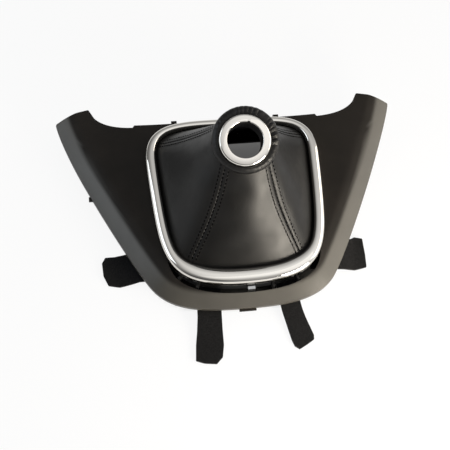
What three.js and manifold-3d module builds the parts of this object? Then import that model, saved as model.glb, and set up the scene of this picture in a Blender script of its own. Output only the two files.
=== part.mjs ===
// Gear lever gaiter: console trim panel, chrome bezel, sewn leather boot and collar ring.
// Millimetres, +Z up, X to the driver's right hand, Y to the back of the car, table at z = 0.
import * as THREE from 'three';
import { mergeVertices } from 'three/addons/utils/BufferGeometryUtils.js';
import Module from 'manifold-3d';

const wasm = await Module();
wasm.setup();

// Fits
const CLEAR = 0.3; // gap left between pieces that touch
const BITE = 0.6; // how far a boss or rib runs into the wall that carries it

// Heights above the table
const DECK_Z = 25.4; // main face of the panel around the bezel
const RIM_Z = 14; // lower edge of the rounded shoulder at the front
const HORN_RISE = 12; // how far the horn tips rise above the main face
const LIFT_FROM = 115; // where the rise starts, measured backward and outward, behind the bezel
const LIFT_LENGTH = 57;
const FRONT_DIP = 3; // how far the main face dips in front of the bezel

// Console panel, right half outline (x, y)
const PANEL_FRONT_Y = -70.7;
const PANEL_CORNER = new THREE.Vector2(75.4, -49); // where the front corner turns into the side
const PANEL_CORNER_ANGLE = 0.9; // direction of the rim there, radians from +X
const PANEL_HALF_WIDTH = 150.4;
const HORN_TIP_Y = 111;
const HORN_TIP = new THREE.Vector2(PANEL_HALF_WIDTH, HORN_TIP_Y); // outer corner of a horn
const HORN_TIP_ANGLE = 1.4;
const HORN_HEEL = new THREE.Vector2(120.3, 119.5); // inner corner of a horn
const HORN_ROOT = new THREE.Vector2(83, 103); // where the horn's inner edge meets the rear strip
const PANEL_FRONT_HANDLE = 34.2; // lengths of the outline's curve handles, in order
const PANEL_CORNER_BEFORE = 24.7;
const PANEL_CORNER_AFTER = 22.7;
const HORN_TIP_BEFORE = 25.7;
const HORN_HEEL_AFTER = 11.3;
const HORN_HEEL_ANGLE = -1.81; // direction of the horn's inner edge at the heel
const HORN_ROOT_BEFORE = 21;
const REAR_EDGE_Y = 105.2;
const REAR_STEP = 1.5; // step in the rear edge at the horn's root
const SHOULDER = 20; // width of the rounded shoulder
const PANEL_WALL = 2.5;
const RIM_SKIRT = 3; // straight lip below the shoulder
const EDGE_SKIRT = 6; // lip along the horns' inner edges and the rear strip
const RETURN_DEPTH = 6; // lip that turns down round the opening
const SLOT_FRONT = 4.2; // open slot between bezel and panel at the front
const OPENING_TUCK = 2.6; // how far the opening hides under the bezel elsewhere

// Bezel, right half outline
const BEZEL_FRONT_Y = -55.4;
const BEZEL_REAR_Y = 103;
const BEZEL_CORNER = new THREE.Vector2(70.2, -6.8);
const BEZEL_CORNER_ANGLE = 1.4;
const BEZEL_SIDE = new THREE.Vector2(76.2, 66);
const BEZEL_FRONT_HANDLE = 47.8; // lengths of the outline's curve handles, in order
const BEZEL_CORNER_BEFORE = 37;
const BEZEL_CORNER_AFTER = 20.4;
const BEZEL_SIDE_BEFORE = 4.8;
const BEZEL_SIDE_AFTER = 42.3;
const BEZEL_REAR_HANDLE = 35.7;
const BEZEL_SHIFT = 2; // how far the boot and its bezel sit to the right of the panel's middle
const BEAD_FRONT = 12.8; // width of the bead at the front, the sides and the rear
const BEAD_WIDTH = 9.5;
const BEAD_REAR = 7.5;
const BEAD_HEIGHT = 8.2;
const BEAD_WALL = 1.7;
const BEAD_LIP = 3.6; // height of the inner lip, which holds the leather down

// Gaiter frame under the bezel
const FRAME_OUTSIDE = OPENING_TUCK + CLEAR;
const FRAME_WALL = 1.8;
const FRAME_DEPTH = 14;
const FLANGE_TOP = 1.5; // flange height above the deck
const FLANGE_THICK = 2.5;
const SHELF_DEPTH = 10; // shelf along the foot of the frame's rear wall
const SHELF_THICK = 2;
const SHELF_LENGTH = 96;

// Leather boot
const LEATHER = 1.5;
const HEM_WIDTH = 3.5; // flat hem that the bead holds down on the frame
const HEM_SHOW = 0.5; // how far the leather turns up clear of the bead
const HEM_TURN = 0.8; // how far before that the hem ends
const FLARE_ACROSS = 0.55; // where the boot's side turns upward
const FLARE_UP = 0.42;
const PANEL_PUFF = 2.2; // how far each leather panel bulges between its seams
const SEAM_GAP = 0.4; // between two panels at a seam
const FRONT_SEAM = 0.21; // place of the seams along the half outline
const REAR_SEAM = 0.715;
const FRONT_SEAM_RIGHT = -32; // their places round the collar, degrees from +X or, on the left, -X
const FRONT_SEAM_LEFT = -46;
const REAR_SEAM_ANGLE = 58;

// Collar
const COLLAR_HEIGHT = 116; // centre of the collar ring above the table
const COLLAR = new THREE.Vector3(2.6, 25.3, COLLAR_HEIGHT);
const COLLAR_TILT = 22; // degrees, leaning to the front
const RING_OUTER = 20;
const RING_BORE = 13.8;
const RING_TOP = 2.4;
const SPIGOT_WALL = 2.2;
const SPIGOT_DEPTH = 6;
const SLEEVE_WALL = 1.8;
const SLEEVE_DEPTH = 17;
const BAND_THICK = 0.8;
const BAND_WIDTH = 4;
const ROLL_RADIUS = 26.4; // the gathered leather roll round the ring
const ROLL_SHIFT = new THREE.Vector2(1.1, 1.4); // the roll is fuller at the right and the rear
const PLEATS = 30;
const PLEAT_DEPTH = 0.7;

// Clips, screws and straps
const CLIP_SHEET = 0.8;
const CLIP_WIDTH = 7;
const TONGUE_REACH = 4.6;
const TONGUE_THICK = 2;
const SCREW_INSET = 7.3;
const BOSS_RADIUS = 1.6;
const SHANK_RADIUS = 0.8;
const HEAD_RADIUS = 2.1;
const HEAD_HEIGHT = 1.6;
const STRAP_THICK = 2;

// Number of facets
const LOOP_STEPS = 64;
const PANEL_FRONT_STEPS = 8;
const PANEL_SIDE_STEPS = 12;
const HORN_INNER_STEPS = 9;
const ROUND_STEPS = 36;

const plastic = (color, roughness) => new THREE.MeshStandardMaterial({ color, roughness, metalness: 0 });
const metal = (color, roughness) => new THREE.MeshStandardMaterial({ color, roughness, metalness: 1 });
const panelPlastic = plastic(0x2a2725, 0.6);
const innerPlastic = plastic(0x141414, 0.65);
const chrome = metal(0xd9d7d2, 0.12);
const leather = plastic(0x1d1b1a, 0.5);
const fabric = plastic(0x101010, 0.95);
const springSteel = metal(0xb8bcc0, 0.3);

const gaiter = new THREE.Group();

function addPart(name, geometry, material) {
  const mesh = new THREE.Mesh(geometry, material);
  mesh.name = name;
  gaiter.add(mesh);
  return mesh;
}

const smooth = (from, to, value) => THREE.MathUtils.smoothstep(value, from, to);
const mix = THREE.MathUtils.lerp;

// Closed bodies from grids of points

function signedVolume(points, index) {
  let sum = 0;
  for (let i = 0; i < index.length; i += 3) {
    const [a, b, c] = [points[index[i]], points[index[i + 1]], points[index[i + 2]]];
    sum += a.dot(b.clone().cross(c));
  }
  return sum / 6;
}

function bodyFrom(points, index) {
  if (signedVolume(points, index) < 0) index.reverse();
  const geometry = new THREE.BufferGeometry().setFromPoints(points);
  geometry.setIndex(index);
  geometry.computeVertexNormals();
  return geometry;
}

// A closed section carried round a closed loop
function loopBody(sections) {
  const count = sections.length;
  const size = sections[0].length;
  const index = [];
  for (let i = 0; i < count; i++) {
    for (let j = 0; j < size; j++) {
      const a = i * size + j;
      const b = i * size + ((j + 1) % size);
      const c = ((i + 1) % count) * size + j;
      const d = ((i + 1) % count) * size + ((j + 1) % size);
      index.push(a, c, b, b, c, d);
    }
  }
  return bodyFrom(sections.flat(), index);
}

// A sheet with a front and a back face, closed round its four edges
function sheetBody(front, back) {
  const rows = front.length;
  const cols = front[0].length;
  const index = [];
  const quad = (a, b, c, d) => index.push(a, b, c, b, d, c);
  const offset = rows * cols;
  const at = (i, j) => i * cols + j;
  for (let i = 0; i + 1 < rows; i++) {
    for (let j = 0; j + 1 < cols; j++) {
      quad(at(i, j), at(i, j + 1), at(i + 1, j), at(i + 1, j + 1));
      quad(offset + at(i, j), offset + at(i + 1, j), offset + at(i, j + 1), offset + at(i + 1, j + 1));
    }
    quad(at(i, 0), at(i + 1, 0), offset + at(i, 0), offset + at(i + 1, 0));
    quad(at(i, cols - 1), offset + at(i, cols - 1), at(i + 1, cols - 1), offset + at(i + 1, cols - 1));
  }
  for (let j = 0; j + 1 < cols; j++) {
    quad(at(0, j), offset + at(0, j), at(0, j + 1), offset + at(0, j + 1));
    quad(at(rows - 1, j), at(rows - 1, j + 1), offset + at(rows - 1, j), offset + at(rows - 1, j + 1));
  }
  return bodyFrom([...front.flat(), ...back.flat()], index);
}

function toManifold(geometry) {
  let plain = geometry.clone();
  plain.deleteAttribute('normal');
  plain.deleteAttribute('uv');
  plain = mergeVertices(plain, 1e-4);
  const mesh = new wasm.Mesh({
    numProp: 3,
    vertProperties: new Float32Array(plain.attributes.position.array),
    triVerts: new Uint32Array(plain.index.array),
  });
  return new wasm.Manifold(mesh);
}

function fromManifold(solid) {
  const mesh = solid.getMesh();
  const geometry = new THREE.BufferGeometry();
  geometry.setAttribute('position', new THREE.BufferAttribute(new Float32Array(mesh.vertProperties), 3));
  geometry.setIndex(new THREE.BufferAttribute(new Uint32Array(mesh.triVerts), 1));
  geometry.computeVertexNormals();
  return geometry;
}

function combine(base, added = [], removed = []) {
  let solid = toManifold(base);
  for (const geometry of added) solid = solid.add(toManifold(geometry));
  for (const geometry of removed) solid = solid.subtract(toManifold(geometry));
  return fromManifold(solid);
}

function box(x0, x1, y0, y1, z0, z1) {
  const geometry = new THREE.BoxGeometry(x1 - x0, y1 - y0, z1 - z0);
  return geometry.translate((x0 + x1) / 2, (y0 + y1) / 2, (z0 + z1) / 2);
}

function rod(x, y, z0, z1, radius, steps = 10) {
  const geometry = new THREE.CylinderGeometry(radius, radius, z1 - z0, steps);
  return geometry.rotateX(Math.PI / 2).translate(x, y, (z0 + z1) / 2);
}

// Outlines: half curves from the front centre round the right side to the rear centre

const direction = (angle) => new THREE.Vector2(Math.cos(angle), Math.sin(angle));

function bezelHalf() {
  const along = direction(BEZEL_CORNER_ANGLE);
  const path = new THREE.CurvePath();
  path.add(new THREE.CubicBezierCurve(
    new THREE.Vector2(0, BEZEL_FRONT_Y),
    new THREE.Vector2(BEZEL_FRONT_HANDLE, BEZEL_FRONT_Y),
    BEZEL_CORNER.clone().addScaledVector(along, -BEZEL_CORNER_BEFORE),
    BEZEL_CORNER,
  ));
  path.add(new THREE.CubicBezierCurve(
    BEZEL_CORNER,
    BEZEL_CORNER.clone().addScaledVector(along, BEZEL_CORNER_AFTER),
    BEZEL_SIDE.clone().setY(BEZEL_SIDE.y - BEZEL_SIDE_BEFORE),
    BEZEL_SIDE,
  ));
  path.add(new THREE.CubicBezierCurve(
    BEZEL_SIDE,
    BEZEL_SIDE.clone().setY(BEZEL_SIDE.y + BEZEL_SIDE_AFTER),
    new THREE.Vector2(BEZEL_REAR_HANDLE, BEZEL_REAR_Y),
    new THREE.Vector2(0, BEZEL_REAR_Y),
  ));
  return path;
}

const bezelPath = bezelHalf();

// Places round the outlines: s is 0 at the front centre, 1 at the rear centre, and runs on to 2
// (or back to -1) round the left side
const isLeft = (s) => s > 1 || s < 0;
const halfPlace = (s) => (s > 1 ? 2 - s : Math.abs(s));

// Point of the bezel's outline at s, moved outward by n
function bezelPoint(s, n = 0) {
  const t = halfPlace(s);
  const step = 1e-3;
  const before = bezelPath.getPoint(Math.max(t - step, 0));
  const after = bezelPath.getPoint(Math.min(t + step, 1));
  const tangent = after.sub(before).normalize();
  if (t < step || t > 1 - step) tangent.set(Math.sign(tangent.x), 0);
  const point = bezelPath.getPoint(t);
  point.x += tangent.y * n;
  point.y -= tangent.x * n;
  if (isLeft(s)) point.x = -point.x;
  point.x += BEZEL_SHIFT;
  return point;
}

// Width of the bead at s: widest at the front, narrowest at the rear
function beadWidth(s) {
  const t = halfPlace(s);
  const width = mix(BEAD_FRONT, BEAD_WIDTH, smooth(0.15, 0.3, t));
  return mix(width, BEAD_REAR, smooth(0.62, 0.8, t));
}

// A closed section, given by a function of s as [distance outward, height], carried round the bezel
function bezelLoop(profileAt, steps = LOOP_STEPS) {
  const sections = [];
  for (let i = 0; i < steps; i++) {
    const s = (2 * i) / steps;
    sections.push(profileAt(s).map(([n, z]) => {
      const p = bezelPoint(s, n);
      return new THREE.Vector3(p.x, p.y, DECK_Z + z);
    }));
  }
  return loopBody(sections);
}

// Panel outline

function rimFront() {
  const along = direction(PANEL_CORNER_ANGLE);
  return new THREE.CubicBezierCurve(
    new THREE.Vector2(0, PANEL_FRONT_Y),
    new THREE.Vector2(PANEL_FRONT_HANDLE, PANEL_FRONT_Y),
    PANEL_CORNER.clone().addScaledVector(along, -PANEL_CORNER_BEFORE),
    PANEL_CORNER,
  );
}

function rimSide() {
  const start = direction(PANEL_CORNER_ANGLE);
  const end = direction(HORN_TIP_ANGLE);
  return new THREE.CubicBezierCurve(
    PANEL_CORNER,
    PANEL_CORNER.clone().addScaledVector(start, PANEL_CORNER_AFTER),
    HORN_TIP.clone().addScaledVector(end, -HORN_TIP_BEFORE),
    HORN_TIP,
  );
}

function hornInner() {
  return new THREE.CubicBezierCurve(
    HORN_HEEL,
    HORN_HEEL.clone().addScaledVector(direction(HORN_HEEL_ANGLE), HORN_HEEL_AFTER),
    HORN_ROOT.clone().setX(HORN_ROOT.x + HORN_ROOT_BEFORE),
    HORN_ROOT,
  );
}

const rimPoints = [...rimFront().getSpacedPoints(24), ...rimSide().getSpacedPoints(48)];

function distanceToRim(x, y) {
  const point = new THREE.Vector3(Math.abs(x), y, 0);
  let nearest = Infinity;
  for (let i = 0; i + 1 < rimPoints.length; i++) {
    const a = new THREE.Vector3(rimPoints[i].x, rimPoints[i].y, 0);
    const b = new THREE.Vector3(rimPoints[i + 1].x, rimPoints[i + 1].y, 0);
    const foot = new THREE.Line3(a, b).closestPointToPoint(point, true, new THREE.Vector3());
    nearest = Math.min(nearest, foot.distanceTo(point));
  }
  return nearest;
}

// Height that the panel gains towards the horn tips
function hornLift(x, y) {
  const reach = Math.max(0, 0.5 * Math.abs(x) + 0.87 * y - LIFT_FROM) / LIFT_LENGTH;
  return HORN_RISE * reach * reach;
}

function deckHeight(x, y) {
  const ahead = Math.max(0, -y - 30) / 30;
  return DECK_Z + hornLift(x, y) - FRONT_DIP * ahead * ahead;
}

// Top face of the panel: the main face, falling over the shoulder to the rim
function panelTop(x, y) {
  const u = Math.max(0, 1 - distanceToRim(x, y) / SHOULDER);
  const fall = 0.55 * u + 0.45 * u * u;
  return mix(deckHeight(x, y), RIM_Z + hornLift(x, y), fall);
}

// Opening of the panel: wider than the bezel at the front, under it elsewhere
function openingPoint(s) {
  return bezelPoint(s, mix(SLOT_FRONT, -OPENING_TUCK, smooth(0.2, 0.33, halfPlace(s))));
}

// Pairs of outline point and opening point, with the skirt's depth, for the right half. The horn's
// hollow inner edge looks at the opening's side, so that no line between a pair leaves the panel.
function panelStations() {
  const stations = [];
  const run = (curve, steps, s0, s1, skirt0, skirt1, first = 0) => {
    for (let i = first; i <= steps; i++) {
      const t = i / steps;
      const outer = curve.getPointAt(t);
      stations.push({ outer, s: mix(s0, s1, t), skirt: mix(skirt0, skirt1, t) });
    }
  };
  const rearStart = new THREE.Vector2(HORN_ROOT.x - REAR_STEP, REAR_EDGE_Y);
  const rearEnd = new THREE.Vector2(0, REAR_EDGE_Y);
  run(rimFront(), PANEL_FRONT_STEPS, 0, 0.28, RIM_SKIRT, RIM_SKIRT);
  run(rimSide(), PANEL_SIDE_STEPS, 0.28, 0.48, RIM_SKIRT, RIM_SKIRT, 1);
  run(new THREE.LineCurve(HORN_TIP, HORN_HEEL), 3, 0.48, 0.53, RIM_SKIRT, EDGE_SKIRT, 1);
  run(hornInner(), HORN_INNER_STEPS, 0.53, 0.79, EDGE_SKIRT, EDGE_SKIRT, 1);
  run(new THREE.LineCurve(rearStart, rearEnd), 6, 0.8, 1, EDGE_SKIRT, EDGE_SKIRT);
  return stations;
}

function panelSection({ outer, s, skirt }) {
  const inner = openingPoint(s);
  const length = outer.distanceTo(inner);
  const shoulder = Math.min(SHOULDER, 0.8 * length);
  const wall = Math.min(PANEL_WALL, 0.3 * length);
  const place = (fromOuter) => outer.clone().lerp(inner, fromOuter / length);
  const top = (fromOuter, down = 0) => {
    const p = place(fromOuter);
    return new THREE.Vector3(p.x, p.y, panelTop(p.x, p.y) - down);
  };
  const shoulderSteps = [0.35, 0.7, 1].map((part) => part * shoulder);
  const middle = (shoulder + length) / 2;
  const upper = [0, ...shoulderSteps, middle, length].map((d) => top(d));
  const rim = upper[0];
  const edge = upper[upper.length - 1];
  const hollow = top(length - wall);
  return [
    ...upper,
    new THREE.Vector3(edge.x, edge.y, edge.z - RETURN_DEPTH),
    new THREE.Vector3(hollow.x, hollow.y, edge.z - RETURN_DEPTH),
    top(length - wall, PANEL_WALL),
    top(Math.max(shoulder, wall * 1.4) * 0.98, PANEL_WALL),
    top(Math.max(shoulderSteps[0], wall * 1.2), PANEL_WALL),
    new THREE.Vector3(place(wall).x, place(wall).y, rim.z - skirt),
    new THREE.Vector3(rim.x, rim.y, rim.z - skirt),
  ];
}

// The left half's stations: the outline is the right one's mirror image, the opening isn't
function leftStations(right) {
  const between = right.slice(1, -1).reverse();
  return between.map(({ outer, s, skirt }) => ({ outer: outer.clone().setX(-outer.x), s: 2 - s, skirt }));
}

// Feet under the panel: (x, y) of the right-hand one of each pair
const POST_INSET = 8.1; // how far inside the rim the feet stand
const TOWER_INSET = 21.5;

// A point inside a stretch of the rim, at a share of its length
function insideRim(curve, along, inset) {
  const tangent = curve.getTangentAt(along);
  return curve.getPointAt(along).add(new THREE.Vector2(-tangent.y, tangent.x).multiplyScalar(inset));
}

const FRONT_POST = insideRim(rimFront(), 0.717, POST_INSET);
const CLIP_TOWERS = [['front', 0.305], ['middle', 0.556], ['rear', 0.878]].map(([place, along]) => {
  const { x, y } = insideRim(rimSide(), along, TOWER_INSET);
  return { place, x, y };
});
const TOWER = { width: 10, depth: 8, foot: 12 };
const BLADE = { width: CLIP_WIDTH, thick: 2.4 };
const POST = { width: 8, depth: 6 };
const REAR_NUB = { x: 46, width: 5, reach: 3, top: 0.5, thick: 2.5 }; // hooks on the rear edge
const FRONT_TAB = { x: 0.5, width: 14, reach: 1.5, low: 1.6 };
const SIDE_NUB = { along: 0.575, width: 4, reach: 2.2, rise: 2 }; // on the left rim, along its curve

function lowestTop(x, y, width, depth) {
  const heights = [];
  for (const dx of [-0.5, 0.5]) {
    for (const dy of [-0.5, 0.5]) heights.push(panelTop(x + dx * width, y + dy * depth));
  }
  return Math.min(...heights) - PANEL_WALL / 2;
}

function pillar(x, y, width, depth, z0, z1) {
  return box(x - width / 2, x + width / 2, y - depth / 2, y + depth / 2, z0, z1);
}

function clipTower(x, y) {
  const body = pillar(x, y, TOWER.width, TOWER.depth, TOWER.foot, lowestTop(x, y, TOWER.width, TOWER.depth));
  const blade = pillar(x, y, BLADE.thick, BLADE.width, CLIP_SHEET + CLEAR, TOWER.foot + BITE);
  return [body, blade];
}

function consolePanel() {
  const right = panelStations();
  const shell = loopBody([...right, ...leftStations(right)].map(panelSection));
  const added = [];
  for (const side of [-1, 1]) {
    added.push(pillar(side * FRONT_POST.x, FRONT_POST.y, POST.width, POST.depth, 0,
      lowestTop(FRONT_POST.x, FRONT_POST.y, POST.width, POST.depth)));
    for (const tower of CLIP_TOWERS) added.push(...clipTower(side * tower.x, tower.y));
    const nubTop = panelTop(REAR_NUB.x, REAR_EDGE_Y) - REAR_NUB.top;
    const nubX = side * REAR_NUB.x;
    added.push(box(nubX - REAR_NUB.width / 2, nubX + REAR_NUB.width / 2,
      REAR_EDGE_Y - PANEL_WALL / 2, REAR_EDGE_Y + REAR_NUB.reach, nubTop - REAR_NUB.thick, nubTop));
  }
  const lip = RIM_Z - RIM_SKIRT;
  added.push(box(FRONT_TAB.x - FRONT_TAB.width / 2, FRONT_TAB.x + FRONT_TAB.width / 2,
    PANEL_FRONT_Y - FRONT_TAB.reach, PANEL_FRONT_Y + PANEL_WALL, lip - FRONT_TAB.low, lip + BITE));
  added.push(sideNub(lip));
  return combine(shell, added);
}

// The small nub on the left rim, square to the rim there
function sideNub(lip) {
  const root = rimSide().getPointAt(SIDE_NUB.along);
  const along = rimSide().getTangentAt(SIDE_NUB.along);
  const z = lip + hornLift(root.x, root.y) + BITE;
  const nub = box(-SIDE_NUB.width / 2, SIDE_NUB.width / 2, -PANEL_WALL / 2, SIDE_NUB.reach, z, z + SIDE_NUB.rise);
  return nub.rotateZ(Math.atan2(-along.y, along.x)).translate(-root.x, root.y, 0);
}

addPart('console_panel', consolePanel(), panelPlastic);

// Bezel: a hollow chrome bead with screw bosses underneath

// Shares of the bead's width and height along its outside, from the foot of its outer wall inward
const BEAD_OUTSIDE = [[0, 0.55], [0.1, 0.81], [0.27, 0.95], [0.48, 1], [0.72, 0.92], [0.9, 0.72]];
const BEAD_INSIDE = [[0.73, 0.83], [0.46, 1], [0.27, 0.86]];

function beadProfile(s) {
  const width = beadWidth(s);
  const roof = BEAD_HEIGHT - BEAD_WALL;
  const wall = -BEAD_WALL;
  return [
    [0, CLEAR],
    ...BEAD_OUTSIDE.map(([n, z]) => [-n * width, z * BEAD_HEIGHT]),
    [-width, BEAD_LIP],
    [-width - wall, BEAD_LIP],
    ...BEAD_INSIDE.map(([n, z]) => [-n * width, z * roof]),
    [wall, BEAD_LIP],
    [wall, CLEAR],
  ];
}

const SCREW_PLACES = [0.2, 0.6, 1.4, 1.8];
const BOSS_TOP = 6; // inside the bead's roof
const screwPoints = SCREW_PLACES.map((s) => bezelPoint(s, -SCREW_INSET));

function bezel() {
  const bossFoot = DECK_Z + FLANGE_TOP + CLEAR;
  const bosses = screwPoints.map((p) => rod(p.x, p.y, bossFoot, DECK_Z + BOSS_TOP, BOSS_RADIUS));
  const pilots = screwPoints.map((p) => rod(p.x, p.y, bossFoot - 1, bossFoot + 3, SHANK_RADIUS + CLEAR, 8));
  return combine(bezelLoop(beadProfile), bosses, pilots);
}

addPart('bezel', bezel(), chrome);

// Frame: flange for the leather hem, deep wall, tongues for the clips and ribs in the front slot

const flangeUnder = FLANGE_TOP - FLANGE_THICK;
const frameInside = -FRAME_OUTSIDE - FRAME_WALL;

function frameProfile(s) {
  const reach = -beadWidth(s) - CLEAR;
  return [
    [-FRAME_OUTSIDE, FLANGE_TOP], [reach, FLANGE_TOP], [reach, flangeUnder], [frameInside, flangeUnder],
    [frameInside, -FRAME_DEPTH], [-FRAME_OUTSIDE, -FRAME_DEPTH],
  ];
}

// The shelf that stiffens the foot of the rear wall
function rearShelf() {
  const wall = bezelPoint(1, frameInside).y;
  return box(BEZEL_SHIFT - SHELF_LENGTH / 2, BEZEL_SHIFT + SHELF_LENGTH / 2, wall - SHELF_DEPTH, wall + BITE,
    DECK_Z - FRAME_DEPTH, DECK_Z - FRAME_DEPTH + SHELF_THICK);
}

// A block that stands out from the frame's wall at s, square to it
function wallBlock(s, width, reach, low, high) {
  const root = bezelPoint(s, -FRAME_OUTSIDE - BITE);
  const tip = bezelPoint(s, -FRAME_OUTSIDE + reach);
  const geometry = box(0, tip.distanceTo(root), -width / 2, width / 2, DECK_Z + low, DECK_Z + high);
  return geometry.rotateZ(Math.atan2(tip.y - root.y, tip.x - root.x)).translate(root.x, root.y, 0);
}

const FRAME_CLIPS = [
  { name: 'frame_clip_front', s: 0.009, top: -4 },
  { name: 'frame_clip_right', s: 0.56, top: -9.2 },
  { name: 'frame_clip_rear', s: 1, top: -9.2 },
  { name: 'frame_clip_left', s: 1.44, top: -9.2 },
];
const RIB_PLACES = [0.078, 0.157, 1.845, 1.785];
const RIB = { width: 1.8, reach: 5.6, low: -11, high: -3.5 };

function gaiterFrame() {
  const tongues = FRAME_CLIPS.map(({ s, top }) => wallBlock(s, CLIP_WIDTH, TONGUE_REACH, top - TONGUE_THICK, top));
  const ribs = RIB_PLACES.map((s) => wallBlock(s, RIB.width, RIB.reach, RIB.low, RIB.high));
  const holes = screwPoints.map((p) => rod(p.x, p.y, DECK_Z - 3, DECK_Z + 3, SHANK_RADIUS + CLEAR, 8));
  return combine(bezelLoop(frameProfile), [...tongues, ...ribs, rearShelf()], holes);
}

addPart('gaiter_frame', gaiterFrame(), innerPlastic);

// A spring clip bent round the end of a tongue or blade, drawn with the bend at the origin
// and its arms towards +X
function clipProfile(inside, arm, flare) {
  const half = inside / 2 + CLEAR;
  const shape = new THREE.Shape();
  shape.moveTo(0, -half - CLIP_SHEET);
  shape.lineTo(arm * 0.55, -half - CLIP_SHEET - flare);
  shape.lineTo(arm, -half - CLIP_SHEET);
  shape.lineTo(arm, -half);
  shape.lineTo(arm * 0.55, -half - flare);
  shape.lineTo(CLIP_SHEET, -half);
  shape.lineTo(CLIP_SHEET, half);
  shape.lineTo(arm * 0.55, half + flare);
  shape.lineTo(arm, half);
  shape.lineTo(arm, half + CLIP_SHEET);
  shape.lineTo(arm * 0.55, half + CLIP_SHEET + flare);
  shape.lineTo(0, half + CLIP_SHEET);
  shape.closePath();
  return shape;
}

function clipBody(inside, arm, flare, width) {
  const geometry = new THREE.ExtrudeGeometry(clipProfile(inside, arm, flare), {
    depth: width, bevelEnabled: false, steps: 1,
  });
  return geometry.translate(0, 0, -width / 2).rotateX(Math.PI / 2);
}

for (const { name, s, top } of FRAME_CLIPS) {
  const tip = bezelPoint(s, -FRAME_OUTSIDE + TONGUE_REACH + CLEAR + CLIP_SHEET);
  const root = bezelPoint(s, -FRAME_OUTSIDE);
  const geometry = clipBody(TONGUE_THICK, TONGUE_REACH - CLEAR, 0.5, CLIP_WIDTH - 1);
  geometry.rotateZ(Math.atan2(root.y - tip.y, root.x - tip.x));
  addPart(name, geometry, springSteel).position.set(tip.x, tip.y, DECK_Z + top - TONGUE_THICK / 2);
}

for (const [side, label] of [[1, 'right'], [-1, 'left']]) {
  for (const { place, x, y } of CLIP_TOWERS) {
    const geometry = clipBody(BLADE.thick, TOWER.foot - CLEAR, 1.6, CLIP_WIDTH - 1);
    geometry.rotateY(-Math.PI / 2);
    addPart(`panel_clip_${place}_${label}`, geometry, springSteel).position.set(side * x, y, 0);
  }
}

screwPoints.forEach((p, i) => {
  const under = DECK_Z + flangeUnder - CLEAR;
  const head = rod(p.x, p.y, under - HEAD_HEIGHT, under, HEAD_RADIUS);
  const shank = rod(p.x, p.y, under - 0.5, DECK_Z + FLANGE_TOP + CLEAR + 2.4, SHANK_RADIUS, 8);
  const recess = [
    box(p.x - 1.3, p.x + 1.3, p.y - 0.3, p.y + 0.3, under - HEAD_HEIGHT - 1, under - HEAD_HEIGHT + 0.8),
    box(p.x - 0.3, p.x + 0.3, p.y - 1.3, p.y + 1.3, under - HEAD_HEIGHT - 1, under - HEAD_HEIGHT + 0.8),
  ];
  const names = ['front_right', 'rear_right', 'rear_left', 'front_left'];
  addPart(`frame_screw_${names[i]}`, combine(head, [shank], recess), springSteel);
});

// Collar: everything there turns about a tilted axis

const collarTurn = new THREE.Matrix4().makeRotationX(THREE.MathUtils.degToRad(COLLAR_TILT));
collarTurn.setPosition(COLLAR);

// Point at radius r, angle (radians from +X) and height h in the collar's own frame
function collarPoint(r, angle, h, shift = 0) {
  const x = r * Math.cos(angle) + ROLL_SHIFT.x * shift;
  const y = r * Math.sin(angle) + ROLL_SHIFT.y * shift;
  return new THREE.Vector3(x, y, h).applyMatrix4(collarTurn);
}

// A ring turned from a closed profile of [radius, height]
function turned(profile) {
  const points = profile.map(([r, h]) => new THREE.Vector2(r, h));
  if (THREE.ShapeUtils.isClockWise(points)) points.reverse();
  points.push(points[0].clone());
  const geometry = new THREE.LatheGeometry(points, ROUND_STEPS);
  return geometry.rotateX(Math.PI / 2);
}

function addCollarPart(name, geometry, material) {
  addPart(name, geometry.applyMatrix4(collarTurn), material);
}

const SPIGOT_OUTER = RING_BORE + SPIGOT_WALL;
const SLEEVE_BORE = SPIGOT_OUTER + CLEAR;
const SLEEVE_OUTER = SLEEVE_BORE + SLEEVE_WALL;
const BAND_INNER = SLEEVE_OUTER + CLEAR;
const NECK = BAND_INNER + BAND_THICK + CLEAR + LEATHER; // outside of the leather at the neck
const RING_UNDER = -2.2;

const RING_PROFILE = [
  [RING_BORE, -SPIGOT_DEPTH], [RING_BORE, RING_TOP - 0.9], [RING_BORE + 0.5, RING_TOP - 0.2],
  [RING_BORE + 1.2, RING_TOP], [RING_BORE + 3.4, RING_TOP], [RING_OUTER - 1.4, RING_TOP - 1],
  [RING_OUTER - 0.3, RING_TOP - 2.4], [RING_OUTER, RING_TOP - 3.6], [RING_OUTER - 0.6, RING_UNDER],
  [SPIGOT_OUTER, RING_UNDER], [SPIGOT_OUTER, -SPIGOT_DEPTH],
];
const NOTCH_ANGLE = 74; // degrees, a small notch in the ring's inner lip

function collarRing() {
  const notch = box(-1, 1, RING_BORE - 1.5, RING_BORE + 1, 0, RING_TOP + 1);
  notch.rotateZ(THREE.MathUtils.degToRad(NOTCH_ANGLE - 90));
  return combine(turned(RING_PROFILE), [], [notch]);
}

addCollarPart('collar_ring', collarRing(), chrome);

const SLEEVE_TOP = RING_UNDER - CLEAR;
addCollarPart('collar_sleeve', turned([
  [SLEEVE_BORE, SLEEVE_TOP], [SLEEVE_OUTER, SLEEVE_TOP], [SLEEVE_OUTER, -SLEEVE_DEPTH],
  [RING_BORE, -SLEEVE_DEPTH], [RING_BORE, -SPIGOT_DEPTH - CLEAR], [SLEEVE_BORE, -SPIGOT_DEPTH - CLEAR],
]), innerPlastic);

const BAND_TOP = -10.5;
addCollarPart('collar_clamp_band', turned([
  [BAND_INNER, BAND_TOP], [BAND_INNER + BAND_THICK, BAND_TOP],
  [BAND_INNER + BAND_THICK, BAND_TOP - BAND_WIDTH], [BAND_INNER, BAND_TOP - BAND_WIDTH],
]), springSteel);

// Leather: s runs round the bezel's outline, v from the hem to the gathered roll

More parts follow.
